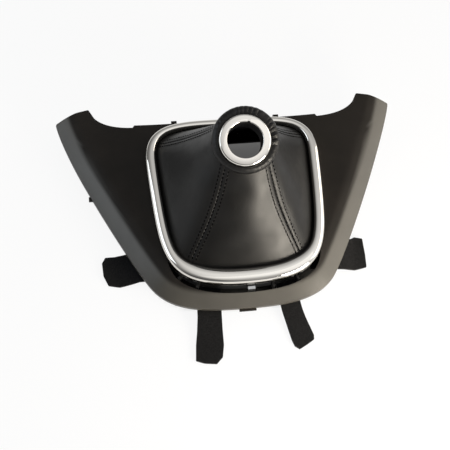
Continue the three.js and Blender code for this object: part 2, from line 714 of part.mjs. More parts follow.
// Angle round the collar that belongs to s
function collarAngle(s) {
  const t = halfPlace(s);
  let degrees;
  const front = isLeft(s) ? FRONT_SEAM_LEFT : FRONT_SEAM_RIGHT;
  if (t < FRONT_SEAM) degrees = mix(-90, front, t / FRONT_SEAM);
  else if (t < REAR_SEAM) {
    degrees = mix(front, REAR_SEAM_ANGLE, (t - FRONT_SEAM) / (REAR_SEAM - FRONT_SEAM));
  } else degrees = mix(REAR_SEAM_ANGLE, 90, (t - REAR_SEAM) / (1 - REAR_SEAM));
  if (isLeft(s)) degrees = 180 - degrees;
  return THREE.MathUtils.degToRad(degrees);
}

const HEM_TOP = FLANGE_TOP + CLEAR + LEATHER;
const ROLL_FROM = -12.5; // height of the neck in the collar's frame

// Roll section: [radius, height, how much the pleats show, how much the roll is shifted]
const ROLL_PROFILE = [
  [NECK + 1.6, -11.8, 0.3, 0.3], [ROLL_RADIUS - 0.9, -9.4, 0.4, 0.8], [ROLL_RADIUS, -6.2, 0.3, 1],
  [ROLL_RADIUS - 0.8, -3.3, 0.6, 1], [ROLL_RADIUS - 3.4, -1.4, 1, 0.8], [RING_OUTER + 0.9, -1.6, 0.8, 0.2],
  [SLEEVE_OUTER + CLEAR + 0.9, RING_UNDER - CLEAR, 0, 0],
];
const SIDE_ROWS = [0, 0.12, 0.28, 0.45, 0.62, 0.8, 1];

// Puff of a panel: nothing at its seams and ends
function puff(t, v) {
  return PANEL_PUFF * Math.sin(Math.PI * t) * Math.sin(Math.PI * Math.min(1, v * 1.02));
}

// One column of outside points of the leather at s; t is the place between the panel's seams
function leatherColumn(s, t, pleatDepth) {
  const angle = collarAngle(s);
  const hem = (n) => {
    const p = bezelPoint(s, -n);
    return new THREE.Vector3(p.x, p.y, DECK_Z + HEM_TOP);
  };
  const footInset = beadWidth(s) + HEM_SHOW;
  const foot = hem(footInset);
  const neck = collarPoint(NECK, angle, ROLL_FROM);
  const bend = new THREE.Vector3(
    mix(foot.x, neck.x, FLARE_ACROSS),
    mix(foot.y, neck.y, FLARE_ACROSS),
    mix(foot.z, neck.z, FLARE_UP),
  );
  const side = new THREE.QuadraticBezierCurve3(foot, bend, neck);
  const outward = foot.clone().sub(neck).setZ(0).normalize();
  const column = [hem(footInset - HEM_WIDTH), hem(footInset - HEM_TURN)];
  for (const v of SIDE_ROWS) {
    const point = side.getPoint(v);
    point.addScaledVector(outward, puff(t, v) * 0.8);
    point.z += puff(t, v) * 0.6;
    column.push(point);
  }
  for (const [r, h, pleat, shift] of ROLL_PROFILE) {
    const fold = pleatDepth * pleat * Math.cos(PLEATS * angle);
    column.push(collarPoint(r + fold, angle, h + 0.5 * fold, shift));
  }
  return column;
}

// Outside and inside points of one column, moved sideways by a signed gap at a seam. The leather's
// thickness is taken square to the surface without its pleats, so that the inside can't fold over.
function leatherPair(s, t, gap) {
  const step = 0.004;
  const before = leatherColumn(s - step, t, 0);
  const after = leatherColumn(s + step, t, 0);
  const plain = leatherColumn(s, t, 0);
  const last = plain.length - 1;
  const inside = [];
  const moved = leatherColumn(s, t, PLEAT_DEPTH).map((point, i) => {
    const across = after[i].clone().sub(before[i]).normalize();
    const along = plain[Math.min(i + 1, last)].clone().sub(plain[Math.max(i - 1, 0)]);
    const normal = i < 2 ? new THREE.Vector3(0, 0, 1) : across.clone().cross(along).normalize();
    const shifted = point.clone().addScaledVector(across, gap);
    inside.push(shifted.clone().addScaledVector(normal, -LEATHER));
    return shifted;
  });
  return [moved, inside];
}

function leatherPanel(s0, s1, cols) {
  const front = [];
  const back = [];
  for (let j = 0; j <= cols; j++) {
    const t = j / cols;
    const gap = (SEAM_GAP / 2) * ((t === 0) - (t === 1));
    const [outside, inside] = leatherPair(mix(s0, s1, t), t, gap);
    front.push(outside);
    back.push(inside);
  }
  return sheetBody(front, back);
}

const LEATHER_PANELS = [
  ['leather_front_panel', -FRONT_SEAM, FRONT_SEAM, 25],
  ['leather_right_panel', FRONT_SEAM, REAR_SEAM, 23],
  ['leather_rear_panel', REAR_SEAM, 2 - REAR_SEAM, 22],
  ['leather_left_panel', 2 - REAR_SEAM, 2 - FRONT_SEAM, 24],
];

for (const [name, s0, s1, cols] of LEATHER_PANELS) {
  const holes = screwPoints.map((p) => rod(p.x, p.y, DECK_Z + 1, DECK_Z + 4.5, BOSS_RADIUS + CLEAR));
  addPart(name, combine(leatherPanel(s0, s1, cols), [], holes), leather);
}

// Straps: felt-like tapes under the frame, lying out on the table. Each is given by the points
// [x, y] of its two edges and the height of its top there; the ends are cut by hand.

const UNDER_FRAME = DECK_Z - FRAME_DEPTH - CLEAR;
const ON_TABLE = STRAP_THICK + 0.2;

function strap(name, left, right, heights) {
  const top = left.map(([x, y], i) => {
    const [x1, y1] = right[i];
    return [0, 0.5, 1].map((t) => new THREE.Vector3(mix(x, x1, t), mix(y, y1, t), heights[i]));
  });
  const under = top.map((row) => row.map((p) => p.clone().setZ(p.z - STRAP_THICK)));
  addPart(name, sheetBody(top, under), fabric);
}

strap('strap_left',
  [[-60, -11], [-74, -10.5], [-86, -10], [-96, -10], [-106, -10.6], [-114, -10.4], [-117, -15.5]],
  [[-54, -38], [-72, -38], [-86, -37], [-94, -37.8], [-103, -38.6], [-112.4, -36.2], [-116.2, -27]],
  [UNDER_FRAME, 9.6, 7.2, 4.6, 2.6, ON_TABLE, ON_TABLE]);
strap('strap_right',
  [[57, -40], [72, -40], [86, -40], [97, -40.6], [107.7, -38.2], [108.5, -27]],
  [[63, -12], [74, -12], [88, -12], [98, -11.5], [102, -9.5], [108.7, -11.5]],
  [UNDER_FRAME, 9.4, 6.8, 3.4, ON_TABLE, ON_TABLE]);
strap('strap_front_left',
  [[-40, -40], [-40.2, -55], [-41, -72], [-42.5, -84], [-44.3, -94.5], [-45.5, -107.8], [-38.5, -110.5]],
  [[-20, -44], [-20.2, -56], [-21, -72], [-21.4, -84], [-21.6, -96.5], [-23.5, -106.5], [-28.9, -111.8]],
  [UNDER_FRAME, 9.6, 6.2, 3.4, ON_TABLE, ON_TABLE, ON_TABLE]);
strap('strap_front_right',
  [[26, -44], [27, -56], [29.3, -72], [31, -80], [34.3, -97.4], [36, -102.7], [39.7, -105.6]],
  [[43, -38], [43.5, -54], [46, -70], [48, -78.6], [53, -94.8], [52.6, -98.4], [46, -102.4]],
  [UNDER_FRAME, 9.6, 5.4, 3.6, ON_TABLE, ON_TABLE, ON_TABLE]);

// Origin: centre of the footprint, on the table
const bounds = new THREE.Box3().setFromObject(gaiter);
gaiter.position.set(-(bounds.min.x + bounds.max.x) / 2, -(bounds.min.y + bounds.max.y) / 2, -bounds.min.z);
gaiter.updateMatrixWorld(true);

export default gaiter;
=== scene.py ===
import math

import bmesh
import bpy
import numpy as np
from mathutils import Matrix, Vector

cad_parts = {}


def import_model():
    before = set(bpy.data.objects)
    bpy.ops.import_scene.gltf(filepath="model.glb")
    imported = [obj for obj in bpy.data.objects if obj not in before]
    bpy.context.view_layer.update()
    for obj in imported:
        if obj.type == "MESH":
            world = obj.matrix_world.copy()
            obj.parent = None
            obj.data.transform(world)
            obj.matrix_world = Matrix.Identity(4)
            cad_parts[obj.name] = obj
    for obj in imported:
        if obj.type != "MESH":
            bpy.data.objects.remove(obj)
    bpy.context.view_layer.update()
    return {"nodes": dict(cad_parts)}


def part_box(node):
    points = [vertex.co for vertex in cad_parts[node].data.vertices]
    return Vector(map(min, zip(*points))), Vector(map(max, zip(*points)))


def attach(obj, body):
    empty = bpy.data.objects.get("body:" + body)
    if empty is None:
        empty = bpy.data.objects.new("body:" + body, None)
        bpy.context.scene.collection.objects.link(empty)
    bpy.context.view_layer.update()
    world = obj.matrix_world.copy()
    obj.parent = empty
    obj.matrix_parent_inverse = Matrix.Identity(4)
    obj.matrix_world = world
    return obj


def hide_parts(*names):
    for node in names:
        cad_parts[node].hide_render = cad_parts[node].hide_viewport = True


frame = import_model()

# Sizes are millimetres in the frame in which the part was drawn: table at z = 0, x = 0 on the
# panel's middle plane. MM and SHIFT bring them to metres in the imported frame.
MM = 0.001
HORN_HEEL = (120.3, 119.5)
SHIFT = np.array([0.0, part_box("console_panel")[1].y / MM - HORN_HEEL[1], 0.0])

# Panel
DECK_Z = 25.4
RIM_Z = 14.0
HORN_RISE = 12.0
LIFT_FROM = 115.0
LIFT_LENGTH = 57.0
LIFT_WAY = (0.5, 0.87)
FRONT_DIP = 3.0
DIP_FROM = -30.0
DIP_LENGTH = 30.0
PANEL_FRONT_Y = -70.7
PANEL_CORNER = (75.4, -49.0)
PANEL_CORNER_ANGLE = 0.9
HORN_TIP = (150.4, 111.0)
HORN_TIP_ANGLE = 1.4
HORN_ROOT = (83.0, 103.0)
PANEL_FRONT_HANDLE = 34.2
PANEL_CORNER_BEFORE = 24.7
PANEL_CORNER_AFTER = 22.7
HORN_TIP_BEFORE = 25.7
HORN_HEEL_AFTER = 11.3
HORN_HEEL_ANGLE = -1.81
HORN_ROOT_BEFORE = 21.0
REAR_EDGE_Y = 105.2
REAR_STEP = 1.5
SHOULDER = 20.0
SHOULDER_FALL = (0.55, 0.45)  # straight and curved share
SHOULDER_BLEND = 0.05
PANEL_WALL = 2.5
RIM_SKIRT = 3.0
TIP_SKIRT = RIM_SKIRT + 0.4
EDGE_SKIRT = 6.0
RETURN_DEPTH = 6.0
SLOT_FRONT = 4.2
SLOT_END = (0.2, 0.33)  # from and to, round the bezel
OPENING_TUCK = 2.6
CORNER_ROUND = 1.6

# Bezel
BEZEL_FRONT_Y = -55.4
BEZEL_REAR_Y = 103.0
BEZEL_CORNER = (70.2, -6.8)
BEZEL_CORNER_ANGLE = 1.4
BEZEL_SIDE = (76.2, 66.0)
BEZEL_FRONT_HANDLE = 47.8
BEZEL_CORNER_BEFORE = 37.0
BEZEL_CORNER_AFTER = 20.4
BEZEL_SIDE_BEFORE = 4.8
BEZEL_SIDE_AFTER = 42.3
BEZEL_REAR_HANDLE = 35.7
BEZEL_SHIFT = 2.0
BEAD_FRONT = 12.8
BEAD_WIDTH = 9.5
BEAD_REAR = 7.5
BEAD_FRONT_TURN = (0.15, 0.3)  # from and to, round the bezel
BEAD_REAR_TURN = (0.62, 0.8)
BEAD_HEIGHT = 8.2
BEAD_WALL = 1.7
BEAD_LIP = 3.6
CLEAR = 0.3
SCREW_INSET = 7.3
SCREW_PLACES = (0.2, 0.6, 1.4, 1.8)
BOSS_RADIUS = 1.6
BOSS_FOOT = 1.8
BOSS_TOP = 6.0

# Leather
LEATHER = 1.5
HEM_TOP = 3.3
HEM_WIDTH = 3.5
HEM_SHOW = 0.5
FLARE_ACROSS = 0.55
FLARE_UP = 0.42
PANEL_PUFF = 2.2
PUFF_OUT = 0.8
PUFF_UP = 0.6
PUFF_END = 1.02
FRONT_SEAM = 0.21
REAR_SEAM = 0.715
FRONT_SEAM_RIGHT = -32.0
FRONT_SEAM_LEFT = -46.0
REAR_SEAM_ANGLE = 58.0
SEAM_BOW = 0.022
SEAM_GAP = 0.1
STITCH_OFFSET = 4.2
STITCH_LENGTH = 2.5
STITCH_STEP = 3.4
STITCH_ARCH = 0.5
STITCH_SINK = 0.2
THREAD_RADIUS = 0.48
THREAD_END = 0.55  # share of the radius left where a stitch goes in
SIDE_LENGTH = 112.0  # along the leather, from hem to neck

# Collar
COLLAR = np.array([2.6, 25.3, 116.0])
COLLAR_TILT = math.radians(22)
RING_OUTER = 20.0
RING_BORE = 13.8
RING_TOP = 2.4
RING_UNDER = -2.2
PLATING_START = RING_TOP - 1.3
RING_LIP = 0.8
RING_CROWN = 1.7
RING_CROWN_DROP = 2.2
RING_FOOT = (0.8, 0.9)
NOTCH_ANGLE = 74
NOTCH_WIDTH = 2.0
NOTCH_DEPTH = 1.0
NOTCH_OVERCUT = (1.5, 1.0)
NOTCH_BLACK = 1.6
SPIGOT_WALL = 2.2
SPIGOT_DEPTH = 6.0
SLEEVE_BORE = RING_BORE + SPIGOT_WALL + CLEAR
SLEEVE_WALL = 1.8
SLEEVE_OUTER = SLEEVE_BORE + SLEEVE_WALL
SLEEVE_DEPTH = 17.0
NECK = 21.4
NECK_HEIGHT = -12.5
ROLL_RADIUS = 26.4
ROLL_SHIFT = (1.1, 1.4)
PLEATS = 37
PLEAT_DEPTH = 1.44
PLEAT_UP = 0.6
DEEP_FOLDS = (-0.26, -0.02, 0.2)
DEEP_FOLD_DEPTH = 2.2
DEEP_FOLD_WIDTH = 0.06

# Straps
STRAP_THICK = 2.0
STRAP_RIPPLE = 0.12
FRAME_DEPTH = 14
UNDER_FRAME = DECK_Z - FRAME_DEPTH - CLEAR
ON_TABLE = STRAP_THICK + 0.2
ABOVE_TABLE = 0.05

# Fineness of the meshes
CURVE_POINTS = 400
DECK_STEPS = 10
BEZEL_STEPS = 360
SHELL_POINTS = 44
HEM_ROWS = 2
SIDE_ROWS = 110
ROLL_ROWS = 34
WIDTH_PROBES = 81
STITCH_POINTS = 7
STITCH_SIDES = 6
STRAP_ROWS = 60
STRAP_COLS = 16


# Curves

def mix(a, b, t):
    return a + (b - a) * t


def smooth(low, high, x):
    t = np.clip((x - low) / (high - low), 0, 1)
    return t * t * (3 - 2 * t)


def unit(v):
    return v / np.maximum(np.linalg.norm(v, axis=-1, keepdims=True), 1e-12)


def along(angle, length):
    return np.array([math.cos(angle), math.sin(angle)]) * length


def cubic(p0, p1, p2, p3, count=600):
    t = np.linspace(0, 1, count)[:, None]
    return ((1 - t) ** 3 * np.asarray(p0) + 3 * (1 - t) ** 2 * t * np.asarray(p1)
            + 3 * (1 - t) * t * t * np.asarray(p2) + t ** 3 * np.asarray(p3))


def resample(points, t):
    """Points at the shares t of the polyline's length."""
    steps = np.linalg.norm(np.diff(points, axis=0), axis=1)
    reach = np.concatenate([[0], np.cumsum(steps)])
    where = np.asarray(t) * reach[-1]
    return np.stack([np.interp(where, reach, points[:, k]) for k in range(points.shape[1])], axis=-1)


def bezel_half():
    corner, side, turn = np.array(BEZEL_CORNER), np.array(BEZEL_SIDE), BEZEL_CORNER_ANGLE
    first = cubic((0, BEZEL_FRONT_Y), (BEZEL_FRONT_HANDLE, BEZEL_FRONT_Y),
                  corner - along(turn, BEZEL_CORNER_BEFORE), corner)
    second = cubic(corner, corner + along(turn, BEZEL_CORNER_AFTER), side - (0, BEZEL_SIDE_BEFORE), side)
    third = cubic(side, side + (0, BEZEL_SIDE_AFTER), (BEZEL_REAR_HANDLE, BEZEL_REAR_Y), (0, BEZEL_REAR_Y))
    return np.concatenate([first, second[1:], third[1:]])


BEZEL_PATH = bezel_half()


def half_place(s):
    return np.where(s > 1, 2 - s, np.abs(s))


def bezel_point(s, n=0.0):
    """Point of the bezel's outline at s, moved out by n. s is 0 and 2 at the front, 1 at the rear."""
    s = np.asarray(s, float)
    t = half_place(s)
    step = 1e-3
    ahead, behind = (resample(BEZEL_PATH, np.clip(t + move, 0, 1)) for move in (step, -step))
    tangent = unit(ahead - behind)
    end = (t < step) | (t > 1 - step)
    tangent = np.where(end[..., None], np.stack([np.sign(tangent[..., 0]), 0 * t], axis=-1), tangent)
    point = resample(BEZEL_PATH, t)
    n = np.asarray(n, float)
    x = point[..., 0] + tangent[..., 1] * n
    y = point[..., 1] - tangent[..., 0] * n
    return np.stack([np.where((s > 1) | (s < 0), -x, x) + BEZEL_SHIFT, y], axis=-1)


def bead_width(s):
    t = half_place(np.asarray(s, float))
    ahead = mix(BEAD_FRONT, BEAD_WIDTH, smooth(*BEAD_FRONT_TURN, t))
    return mix(ahead, BEAD_REAR, smooth(*BEAD_REAR_TURN, t))


# Panel outline

def rim_front():
    corner = np.array(PANEL_CORNER)
    return cubic((0, PANEL_FRONT_Y), (PANEL_FRONT_HANDLE, PANEL_FRONT_Y),
                 corner - along(PANEL_CORNER_ANGLE, PANEL_CORNER_BEFORE), corner)


def rim_side():
    corner, tip = np.array(PANEL_CORNER), np.array(HORN_TIP)
    return cubic(corner, corner + along(PANEL_CORNER_ANGLE, PANEL_CORNER_AFTER),
                 tip - along(HORN_TIP_ANGLE, HORN_TIP_BEFORE), tip)


def horn_inner():
    heel, root = np.array(HORN_HEEL), np.array(HORN_ROOT)
    return cubic(heel, heel + along(HORN_HEEL_ANGLE, HORN_HEEL_AFTER), root + (HORN_ROOT_BEFORE, 0), root)


RIM = np.concatenate([rim_front()[::20], rim_side()[::10]])


def distance_to_rim(x, y):
    p = np.stack([np.abs(x), y], axis=-1).reshape(-1, 1, 2)
    a, b = RIM[None, :-1], RIM[None, 1:]
    d = b - a
    t = np.clip(((p - a) * d).sum(-1) / np.maximum((d * d).sum(-1), 1e-9), 0, 1)
    return np.linalg.norm(p - a - t[..., None] * d, axis=-1).min(1).reshape(np.shape(x))


def horn_lift(x, y):
    reach = np.maximum(0, LIFT_WAY[0] * np.abs(x) + LIFT_WAY[1] * y - LIFT_FROM) / LIFT_LENGTH
    return HORN_RISE * reach ** 2


def deck_height(x, y):
    ahead = np.maximum(0, DIP_FROM - y) / DIP_LENGTH
    return DECK_Z + horn_lift(x, y) - FRONT_DIP * ahead ** 2


def panel_top(x, y):
    u = 1 - distance_to_rim(x, y) / SHOULDER
    u = 0.5 * (u + np.sqrt(u * u + SHOULDER_BLEND ** 2))
    fall = SHOULDER_FALL[0] * u + SHOULDER_FALL[1] * u * u
    return mix(deck_height(x, y), RIM_Z + horn_lift(x, y), fall)


def opening_point(s):
    return bezel_point(s, mix(SLOT_FRONT, -OPENING_TUCK, smooth(*SLOT_END, half_place(s))))


def rounded(before, after, radius, count=7):
    """Cuts the corner between two polylines, and returns both with the arc between them."""
    def length(points):
        return np.linalg.norm(np.diff(points, axis=0), axis=1).sum()
    first = resample(before, np.linspace(0, 1 - radius / length(before), CURVE_POINTS))
    last = resample(after, np.linspace(radius / length(after), 1, CURVE_POINTS))
    t = np.linspace(0, 1, count)[:, None]
    arc = (1 - t) ** 2 * first[-1] + 2 * (1 - t) * t * before[-1] + t ** 2 * last[0]
    return first, arc, last


def panel_stations():
    """Outline points, their places round the opening and the skirt's depth, for the whole panel."""
    side, tip_arc, tip = rounded(rim_side(), np.array([HORN_TIP, HORN_HEEL]), CORNER_ROUND)
    tip, heel_arc, inner = rounded(tip, horn_inner(), CORNER_ROUND)
    rear = np.array([(HORN_ROOT[0] - REAR_STEP, REAR_EDGE_Y), (0, REAR_EDGE_Y)])
    # curve, points along it, its places round the opening, and the skirt's depth at both ends
    runs = [
        (rim_front(), 44, 0.0, 0.28, RIM_SKIRT, RIM_SKIRT),
        (side, 150, 0.28, 0.48, RIM_SKIRT, RIM_SKIRT),
        (tip_arc, 6, 0.48, 0.484, RIM_SKIRT, TIP_SKIRT),
        (tip, 18, 0.484, 0.526, TIP_SKIRT, EDGE_SKIRT),
        (heel_arc, 6, 0.526, 0.53, EDGE_SKIRT, EDGE_SKIRT),
        (inner, 40, 0.53, 0.79, EDGE_SKIRT, EDGE_SKIRT),
        (rear, 40, 0.8, 1.0, EDGE_SKIRT, EDGE_SKIRT),
    ]
    outer, place, skirt = [], [], []
    for k, (curve, count, s0, s1, skirt0, skirt1) in enumerate(runs):
        first = 0 if k in (0, len(runs) - 1) else 1 / count
        t = np.linspace(first, 1, count)
        outer.append(resample(curve, t))
        place.append(mix(s0, s1, t))
        skirt.append(mix(skirt0, skirt1, t))
    outer, place, skirt = (np.concatenate(values) for values in (outer, place, skirt))
    back = slice(-2, 0, -1)
    return (np.concatenate([outer, outer[back] * (-1, 1)]), np.concatenate([place, 2 - place[back]]),
            np.concatenate([skirt, skirt[back]]))


# Meshes

BEVEL_STEPS = 3
BEVEL_FROM = math.radians(32)


def new_piece(name, points, faces, material, replaces=(), bevel=None):
    mesh = bpy.data.meshes.new(name)
    mesh.from_pydata((np.asarray(points).reshape(-1, 3) + SHIFT) * MM, [], faces)
    work = bmesh.new()
    work.from_mesh(mesh)
    bmesh.ops.recalc_face_normals(work, faces=work.faces)
    work.to_mesh(mesh)
    work.free()
    mesh.shade_smooth()
    mesh.materials.append(material)
    piece = bpy.data.objects.new(name, mesh)
    bpy.context.scene.collection.objects.link(piece)
    if bevel:
        modifier = piece.modifiers.new("edges", "BEVEL")
        modifier.width = bevel * MM
        modifier.segments = BEVEL_STEPS
        modifier.limit_method = "ANGLE"
        modifier.angle_limit = BEVEL_FROM
        piece.modifiers.new("normals", "WEIGHTED_NORMAL")
    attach(piece, "root")
    if replaces:
        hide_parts(*replaces)
    return piece


def point_value(mesh, name, values):
    """Gives each point a number that a material can read."""
    mesh.attributes.new(name, "FLOAT", "POINT").data.foreach_set("value", values.astype(np.float32))


def grid_faces(rows, cols, start=0, close_rows=False, close_cols=False):
    faces = []
    for i in range(rows if close_rows else rows - 1):
        for j in range(cols if close_cols else cols - 1):
            i1, j1 = (i + 1) % rows, (j + 1) % cols
            faces.append((start + i * cols + j, start + i * cols + j1,
                          start + i1 * cols + j1, start + i1 * cols + j))
    return faces


def loop_faces(sections):
    """Faces of a closed section carried round a closed loop."""
    return grid_faces(*sections.shape[:2], close_rows=True, close_cols=True)


def sheet_faces(rows, cols):
    """Faces of a front grid followed by a back grid, closed round the edges."""
    back = rows * cols
    faces = grid_faces(rows, cols) + [f[::-1] for f in grid_faces(rows, cols, back)]
    border = (list(range(cols)) + [i * cols + cols - 1 for i in range(1, rows)]
              + [(rows - 1) * cols + j for j in range(cols - 2, -1, -1)]
              + [i * cols for i in range(rows - 2, 0, -1)])
    for a, b in zip(border, border[1:] + border[:1]):
        faces.append((a, a + back, b + back, b))
    return faces


class Pile:
    """Collects closed bodies that share one mesh."""

    def __init__(self):
        self.points, self.faces = [], []

    def add(self, points, faces):
        start = sum(len(p) for p in self.points)
        self.points.append(np.asarray(points, float).reshape(-1, 3))
        self.faces += [tuple(start + v for v in f) for f in faces]

    def block(self, x0, x1, y0, y1, z0, z1):
        corners = [(x, y, z) for z in (z0, z1) for y in (y0, y1) for x in (x0, x1)]
        self.add(corners, [(0, 2, 3, 1), (4, 5, 7, 6), (0, 1, 5, 4),
                           (2, 6, 7, 3), (0, 4, 6, 2), (1, 3, 7, 5)])

    def rod(self, x, y, z0, z1, radius, steps=20):
        turn = np.arange(steps) * 2 * math.pi / steps
        ring = np.stack([x + radius * np.cos(turn), y + radius * np.sin(turn)], axis=1)
        points = [(*p, z) for z in (z0, z1) for p in ring]
        sides = [(k, (k + 1) % steps, steps + (k + 1) % steps, steps + k) for k in range(steps)]
        self.add(points, sides + [tuple(range(steps))[::-1], tuple(range(steps, 2 * steps))])

    def all_points(self):
        return np.concatenate(self.points)


# Materials

def new_material(name, color, roughness, metallic=0.0, specular=0.5):
    material = bpy.data.materials.new(name)
    material.use_nodes = True
    shader = material.node_tree.nodes["Principled BSDF"]
    shader.inputs["Base Color"].default_value = (*color, 1)
    shader.inputs["Roughness"].default_value = roughness
    shader.inputs["Metallic"].default_value = metallic
    shader.inputs["Specular IOR Level"].default_value = specular
    return material, material.node_tree, shader


def noise(tree, scale, detail, stretch=None):
    """A noise texture in object space; scale is in cells per metre."""
    nodes, links = tree.nodes, tree.links
    source = nodes.new("ShaderNodeTexCoord").outputs["Object"]
    texture = nodes.new("ShaderNodeTexNoise")
    texture.inputs["Scale"].default_value = scale
    texture.inputs["Detail"].default_value = detail
    if stretch:
        mapping = nodes.new("ShaderNodeMapping")
        mapping.inputs["Scale"].default_value = stretch
        links.new(source, mapping.inputs["Vector"])
        source = mapping.outputs["Vector"]
    links.new(source, texture.inputs["Vector"])
    return texture.outputs["Fac"]


def cells(tree, scale):
    """Distance to the edge of small cells; scale is in cells per metre."""
    nodes, links = tree.nodes, tree.links
    texture = nodes.new("ShaderNodeTexVoronoi")
    texture.feature = "DISTANCE_TO_EDGE"
    texture.inputs["Scale"].default_value = scale
    links.new(nodes.new("ShaderNodeTexCoord").outputs["Object"], texture.inputs["Vector"])
    return texture.outputs["Distance"]


def two_tone(tree, value, dark, pale, low=0.3, high=0.7):
    """A colour that goes from dark to pale while the value goes from low to high."""
    node = tree.nodes.new("ShaderNodeValToRGB")
    for element, place, color in zip(node.color_ramp.elements, (low, high), (dark, pale)):
        element.position = place
        element.color = (*color, 1)
    tree.links.new(value, node.inputs["Fac"])
    return node.outputs["Color"]


def bump(tree, shader, layers):
    """Stacks bump layers (height socket, depth in mm, strength) on the shader's normal."""
    nodes, links = tree.nodes, tree.links
    previous = None
    for height, depth, strength in layers:
        node = nodes.new("ShaderNodeBump")
        node.inputs["Strength"].default_value = strength
        node.inputs["Distance"].default_value = depth * MM
        links.new(height, node.inputs["Height"])
        if previous:
            links.new(previous, node.inputs["Normal"])
        previous = node.outputs["Normal"]
    links.new(previous, shader.inputs["Normal"])


def link(tree, output, shader, name):
    tree.links.new(output, shader.inputs[name])


def blend(tree, share, first, second):
    node = tree.nodes.new("ShaderNodeMix")
    node.data_type = "RGBA"
    for value, socket in ((share, "Factor"), (first, 6), (second, 7)):
        tree.links.new(value, node.inputs[socket])
    return node.outputs[2]


def math_node(tree, operation, first, second):
    node = tree.nodes.new("ShaderNodeMath")
    node.operation = operation
    for socket, value in zip(node.inputs, (first, second)):
        if isinstance(value, (int, float)):
            socket.default_value = value
        else:
            tree.links.new(value, socket)
    return node.outputs[0]


def largest(tree, result, *others):
    for value in others:
        result = math_node(tree, "MAXIMUM", result, value)
    return result


def product(tree, result, *others):
    for value in others:
        result = math_node(tree, "MULTIPLY", result, value)
    return result


def map_node(tree, value, low, high, to_low, to_high, kind="SMOOTHSTEP"):
    node = tree.nodes.new("ShaderNodeMapRange")
    node.interpolation_type = kind
    for name, number in (("From Min", low), ("From Max", high), ("To Min", to_low), ("To Max", to_high)):
        node.inputs[name].default_value = number
    tree.links.new(value, node.inputs["Value"])
    return node.outputs["Result"]


def spread(tree, value, low, high, to_low, to_high):
    return map_node(tree, value, low, high, to_low, to_high, "LINEAR")


def panel_plastic():
    """Grained plastic; the band along the rim is smoother and paler, the paler tone partly its own finish
    and partly a painted sheen where the shoulder catches the light.
    """
    material, tree, shader = new_material("panel_plastic", (0.013, 0.011, 0.0095), 0.6, specular=0.14)
    attribute = tree.nodes.new("ShaderNodeAttribute")
    attribute.attribute_name = "finish_and_painted_sheen"
    finish_and_painted_sheen = attribute.outputs["Fac"]
    grain = noise(tree, scale=45, detail=4)
    face = two_tone(tree, grain, dark=(0.0105, 0.0088, 0.0072), pale=(0.0145, 0.0122, 0.0102))
    # the paler band is partly its own finish, partly a painted sheen where the shoulder catches the light
    band_and_painted_sheen = two_tone(tree, grain, dark=(0.05, 0.0465, 0.0395), pale=(0.06, 0.056, 0.048))
    link(tree, blend(tree, finish_and_painted_sheen, face, band_and_painted_sheen), shader, "Base Color")
    full_coat = 0.8
    link(tree, product(tree, finish_and_painted_sheen, full_coat), shader, "Coat Weight")
    shader.inputs["Coat Roughness"].default_value = 0.36
    bump(tree, shader, [(cells(tree, 1500), 0.05, 0.5), (noise(tree, 2600, 2), 0.03, 0.4)])
    return material


def inner_plastic():
    material, tree, shader = new_material("inner_black", (0.006,) * 3, 0.5, specular=0.3)
    tone = two_tone(tree, noise(tree, 60, 4), dark=(0.005,) * 3, pale=(0.009,) * 3)
    link(tree, tone, shader, "Base Color")
    bump(tree, shader, [(noise(tree, 1800, 3), 0.03, 0.4)])
    return material


def chrome_plate():
    material, tree, shader = new_material("chrome_plate", (0.75, 0.725, 0.68), 0.05, metallic=1)
    haze = spread(tree, noise(tree, 220, 4), low=0.35, high=0.8, to_low=0.04, to_high=0.1)
    link(tree, haze, shader, "Roughness")
    bump(tree, shader, [(noise(tree, 60, 2), 0.05, 0.12)])
    return material


def black_leather():
    material, tree, shader = new_material("black_leather", (0.005, 0.0046, 0.0042), 0.42, specular=0.28)
    tone = two_tone(tree, noise(tree, 30, 5), high=0.75,
                    dark=(0.004, 0.0037, 0.0034), pale=(0.0062, 0.0057, 0.0052))
    link(tree, tone, shader, "Base Color")
    polish = spread(tree, noise(tree, 90, 5), low=0.3, high=0.75, to_low=0.38, to_high=0.47)
    link(tree, polish, shader, "Roughness")
    bump(tree, shader, [
        (noise(tree, 55, 3), 0.5, 0.22),
        (cells(tree, 1100), 0.07, 0.5),
        (noise(tree, 3200, 3), 0.02, 0.4),
    ])
    return material


def sewing_thread():
    return new_material("sewing_thread", (0.002,) * 3, 0.9, specular=0.05)[0]


def felt_tape():
    material, tree, shader = new_material("felt_tape", (0.006, 0.006, 0.0065), 0.95, specular=0.08)
    tone = two_tone(tree, noise(tree, 900, 6), high=0.75,
                    dark=(0.004, 0.004, 0.0045), pale=(0.012, 0.012, 0.0125))
    link(tree, tone, shader, "Base Color")
    shader.inputs["Sheen Weight"].default_value = 0.15
    shader.inputs["Sheen Roughness"].default_value = 0.45
    bump(tree, shader, [(noise(tree, 1400, 6), 0.25, 0.7), (noise(tree, 300, 3), 0.4, 0.3)])
    return material


def spring_steel():
    """Sheet steel with a fine drawn grain."""
    drawn = (1, 8, 1)
    material, tree, shader = new_material("spring_steel_sheet", (0.42, 0.43, 0.44), 0.3, metallic=1)
    grain = spread(tree, noise(tree, 900, 4, drawn), low=0.3, high=0.7, to_low=0.22, to_high=0.4)
    link(tree, grain, shader, "Roughness")
    bump(tree, shader, [(noise(tree, 1600, 3, drawn), 0.02, 0.3)])
    return material


PANEL_PLASTIC = panel_plastic()
INNER_PLASTIC = inner_plastic()
CHROME = chrome_plate()
LEATHER_SKIN = black_leather()
THREAD = sewing_thread()
FELT = felt_tape()
STEEL = spring_steel()
